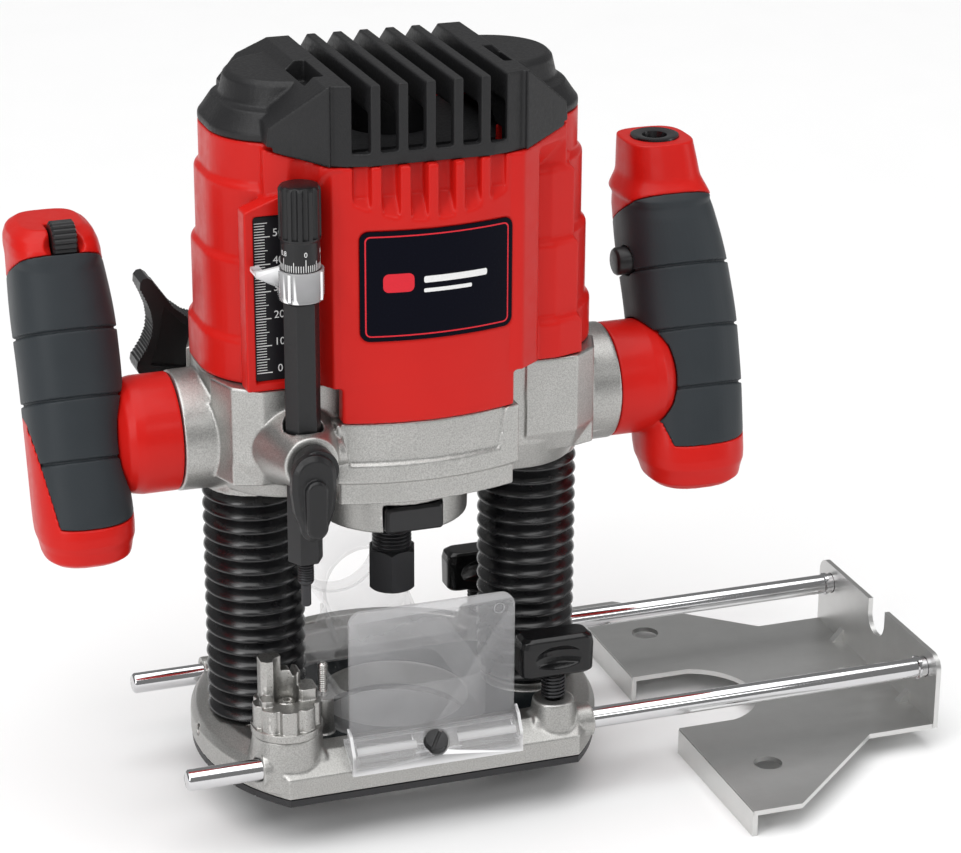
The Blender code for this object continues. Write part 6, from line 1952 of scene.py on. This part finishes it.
def left_core_details(core):
    """A scooped slot for the speed dial near the top."""
    dial_low, dial_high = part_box("speed_dial")
    x, y, z = (dial_low + dial_high) / 2 - OFFSET
    scoop = turned(
        "dial_scoop",
        [
            (0, 0.0110), (0.0050, 0.0100), (0.0085, 0.0060), (0.0100, 0), (0.0085, -0.0060),
            (0.0050, -0.0100), (0, -0.0110),
        ],
        steps=48,
    )
    scoop.data.transform(Matrix.Translation((x, y - 0.0095, z + 0.0045)))
    cut(
        core,
        box("dial_slot", (x - 0.0050, y - 0.0084, z - 0.0082), (x + 0.0050, y + 0.0084, z + 0.0082)),
        scoop,
    )


def trigger_pocket():
    """The space behind the rubber that holds the trigger."""
    return box("trigger_pocket", (0.1085, 0.0145, 0.1570), (0.1235, 0.0500, 0.1910))


def button_hole():
    """The hole round the lock button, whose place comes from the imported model."""
    low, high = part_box("lock_button")
    _, y, z = (low + high) / 2 - OFFSET
    return cylinder("button_hole", (0.0900, y, z), (0.1040, y, z), 0.0058)


def right_core_details(core):
    """Pocket for the trigger, hole for its lock button, and the cord inlet in the top."""
    top = RIGHT_STATIONS[-1][0]
    x, y = 0.1141, (top - ARM_Z) * HANDLE_LEAN
    cut(core, upright("cord_hole", x, y, top - 0.008, top + 0.01, 0.0090), trigger_pocket(), button_hole())


def handle_fittings():
    """Ribbed speed dial, trigger, its lock button, and the rubber ring of the cord inlet."""
    low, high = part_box("speed_dial")
    x, y, z = (low + high) / 2 - OFFSET
    rings = []
    for across, radius in ((-0.0044, 0.0062), (-0.0038, 0.0070), (0.0038, 0.0070), (0.0044, 0.0062)):
        ring = []
        for i in range(120):
            angle = 2 * math.pi * i / 120
            reach = radius - 0.0006 * (0.5 + 0.5 * math.cos(20 * angle)) ** 2
            ring.append((x + across, y + reach * math.cos(angle), z + reach * math.sin(angle)))
        rings.append(ring)
    finish_piece(
        "speed_dial_fine",
        loft("dial", rings),
        "satin_black",
        ["speed_dial"],
    )

    low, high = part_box("trigger")
    low, high = low - OFFSET, high - OFFSET
    rings = []
    outline = [
        (0.0205, low.z), (0.0340, low.z), (0.0366, low.z + 0.0040), (0.0384, low.z + 0.0090),
        (0.0388, low.z + 0.0160), (0.0396, low.z + 0.0230), (0.0400, high.z - 0.0050),
        (0.0395, high.z - 0.0020), (0.0380, high.z), (0.0205, high.z),
    ]
    for x, inset in ((low.x, 0.0012), (low.x + 0.0012, 0.0), (high.x - 0.0012, 0.0), (high.x, 0.0012)):
        rings.append([(x, y - (inset if y > 0.03 else 0), z) for y, z in outline])
    finish_piece(
        "trigger_fine",
        loft("trigger", rings),
        "satin_black",
        ["trigger"],
        bevel=0.0004,
    )

    low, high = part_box("lock_button")
    x0, x1 = low.x - OFFSET.x, high.x - OFFSET.x
    _, y, z = (low + high) / 2 - OFFSET
    rings = []
    for x, radius in ((x0, 0.0040), (x0 + 0.0004, 0.0049), (x0 + 0.0012, 0.0054), (x1, 0.0054)):
        rings.append([(x, u, v) for u, v in polygon((y, z), radius, 48)])
    finish_piece(
        "lock_button_fine",
        loft("button", rings),
        "satin_black",
        ["lock_button"],
    )

    top = RIGHT_STATIONS[-1][0]
    profile = [
        (0, top - 0.0030), (0.0040, top - 0.0028), (0.0048, top + 0.0004), (0.0084, top + 0.0010),
        (0.0092, top + 0.0007), (0.0095, top - 0.0010), (0, top - 0.0050),
    ]
    inlet = turned("inlet", profile[::-1], (0.1141, (top - ARM_Z) * HANDLE_LEAN, 0), 64)
    finish_piece("cord_inlet_fine", inlet, "black_rubber", ["cord_inlet"])


# ---------------------------------------------------------------- parts kept from the model

KEPT = {
    "chrome_steel": "column_left column_right lower_bearing upper_bearing",
    "laminated_steel": "stator armature_core",
    "copper": "commutator",
    "bronze": "brush_holder_left brush_holder_right column_bush_left column_bush_right",
    "black_plastic": "fan",
    "turned_steel": "handle_screw_left handle_screw_right sole_screw_1 sole_screw_2 sole_screw_3 sole_screw_4",
}


def kept_parts():
    """Inner parts whose shape is right as it is: their edges are broken and they get their finish."""
    for material, names in KEPT.items():
        for name in names.split():
            node = frame["nodes"][name]
            node.data.materials.clear()
            node.data.materials.append(MATERIALS[material])
            bevelled(node, 0.0002)


# ---------------------------------------------------------------- studio


def aim(obj, place, target):
    """Puts a light or the camera at place, looking at target."""
    obj.location = place
    obj.rotation_mode = "QUATERNION"
    obj.rotation_quaternion = (Vector(target) - Vector(place)).to_track_quat("-Z", "Y")


def light(name, place, target, width, height, power, tone=(1, 1, 1)):
    """A soft rectangular light."""
    data = bpy.data.lights.new(name, "AREA")
    data.shape = "RECTANGLE"
    data.size, data.size_y = width, height
    data.energy = power
    data.color = tone
    obj = bpy.data.objects.new(name, data)
    bpy.context.scene.collection.objects.link(obj)
    aim(obj, place, target)


def studio():
    """Pale floor, white surround and soft lights; camera from the front left and above."""
    low, high = CAD_BOX
    floor_mesh = bpy.data.meshes.new("floor")
    reach = 6.0
    corners = [
        (-reach, -reach, low.z), (reach, -reach, low.z), (reach, reach, low.z),
        (-reach, reach, low.z),
    ]
    floor_mesh.from_pydata(corners, [], [(0, 1, 2, 3)])
    floor_mesh.materials.append(floor_paint())
    floor = bpy.data.objects.new("floor", floor_mesh)
    bpy.context.scene.collection.objects.link(floor)

    world = bpy.data.worlds.new("studio")
    bpy.context.scene.world = world
    world.use_nodes = True
    background = world.node_tree.nodes["Background"]
    background.inputs["Color"].default_value = (1.0, 1.0, 1.0, 1)
    background.inputs["Strength"].default_value = 0.26

    middle = (low + high) / 2
    sky = bpy.data.lights.new("overhead", "SUN")
    sky.energy = 2.5
    sky.angle = math.radians(70)
    overhead = bpy.data.objects.new("overhead", sky)
    bpy.context.scene.collection.objects.link(overhead)
    aim(overhead, middle + Vector((-0.15, -0.10, 1.0)), middle)
    light("key", middle + Vector((-1.00, -0.65, 0.55)), middle, 0.35, 0.9, 5.0)
    light("fill", middle + Vector((1.10, -0.55, 0.35)), middle, 0.4, 0.9, 2.2)
    light("front", middle + Vector((0.15, -1.30, 0.80)), middle, 0.8, 0.25, 2.0)

    camera = bpy.data.cameras.new("camera")
    camera.sensor_width = 36
    camera.lens = 113.6
    camera.shift_x = 0.0416
    viewer = bpy.data.objects.new("camera", camera)
    bpy.context.scene.collection.objects.link(viewer)
    azimuth, elevation, distance = math.radians(-18.7), math.radians(21.2), 1.1388
    back = Vector(
        (
            math.sin(azimuth) * math.cos(elevation),
            -math.cos(azimuth) * math.cos(elevation),
            math.sin(elevation),
        )
    )
    target = Vector((0.0195, 0, 0.1211)) + OFFSET
    viewer.location = target + back * distance
    viewer.rotation_mode = "QUATERNION"
    viewer.rotation_quaternion = (-back).to_track_quat("-Z", "Y")
    camera.clip_start, camera.clip_end = 0.05, 20
    bpy.context.scene.camera = viewer
    bpy.context.scene.view_settings.view_transform = "Standard"


base_casting()
sole_plate()
bellows()
dust_hood()
chip_guard()
turret()
clamp_knobs()
fence()
motor_bracket()
motor_housing()
slot_shade_baffle()
badge_plate()
depth_scale()
top_cap()
spindle_end()
depth_rod()
depth_pointer()
fine_adjust_knob()
depth_clamp()
plunge_lever()
handle("left", -1, LEFT_STATIONS, LEFT_GRIP)
handle("right", 1, RIGHT_STATIONS, RIGHT_GRIP)
handle_fittings()
kept_parts()
studio()
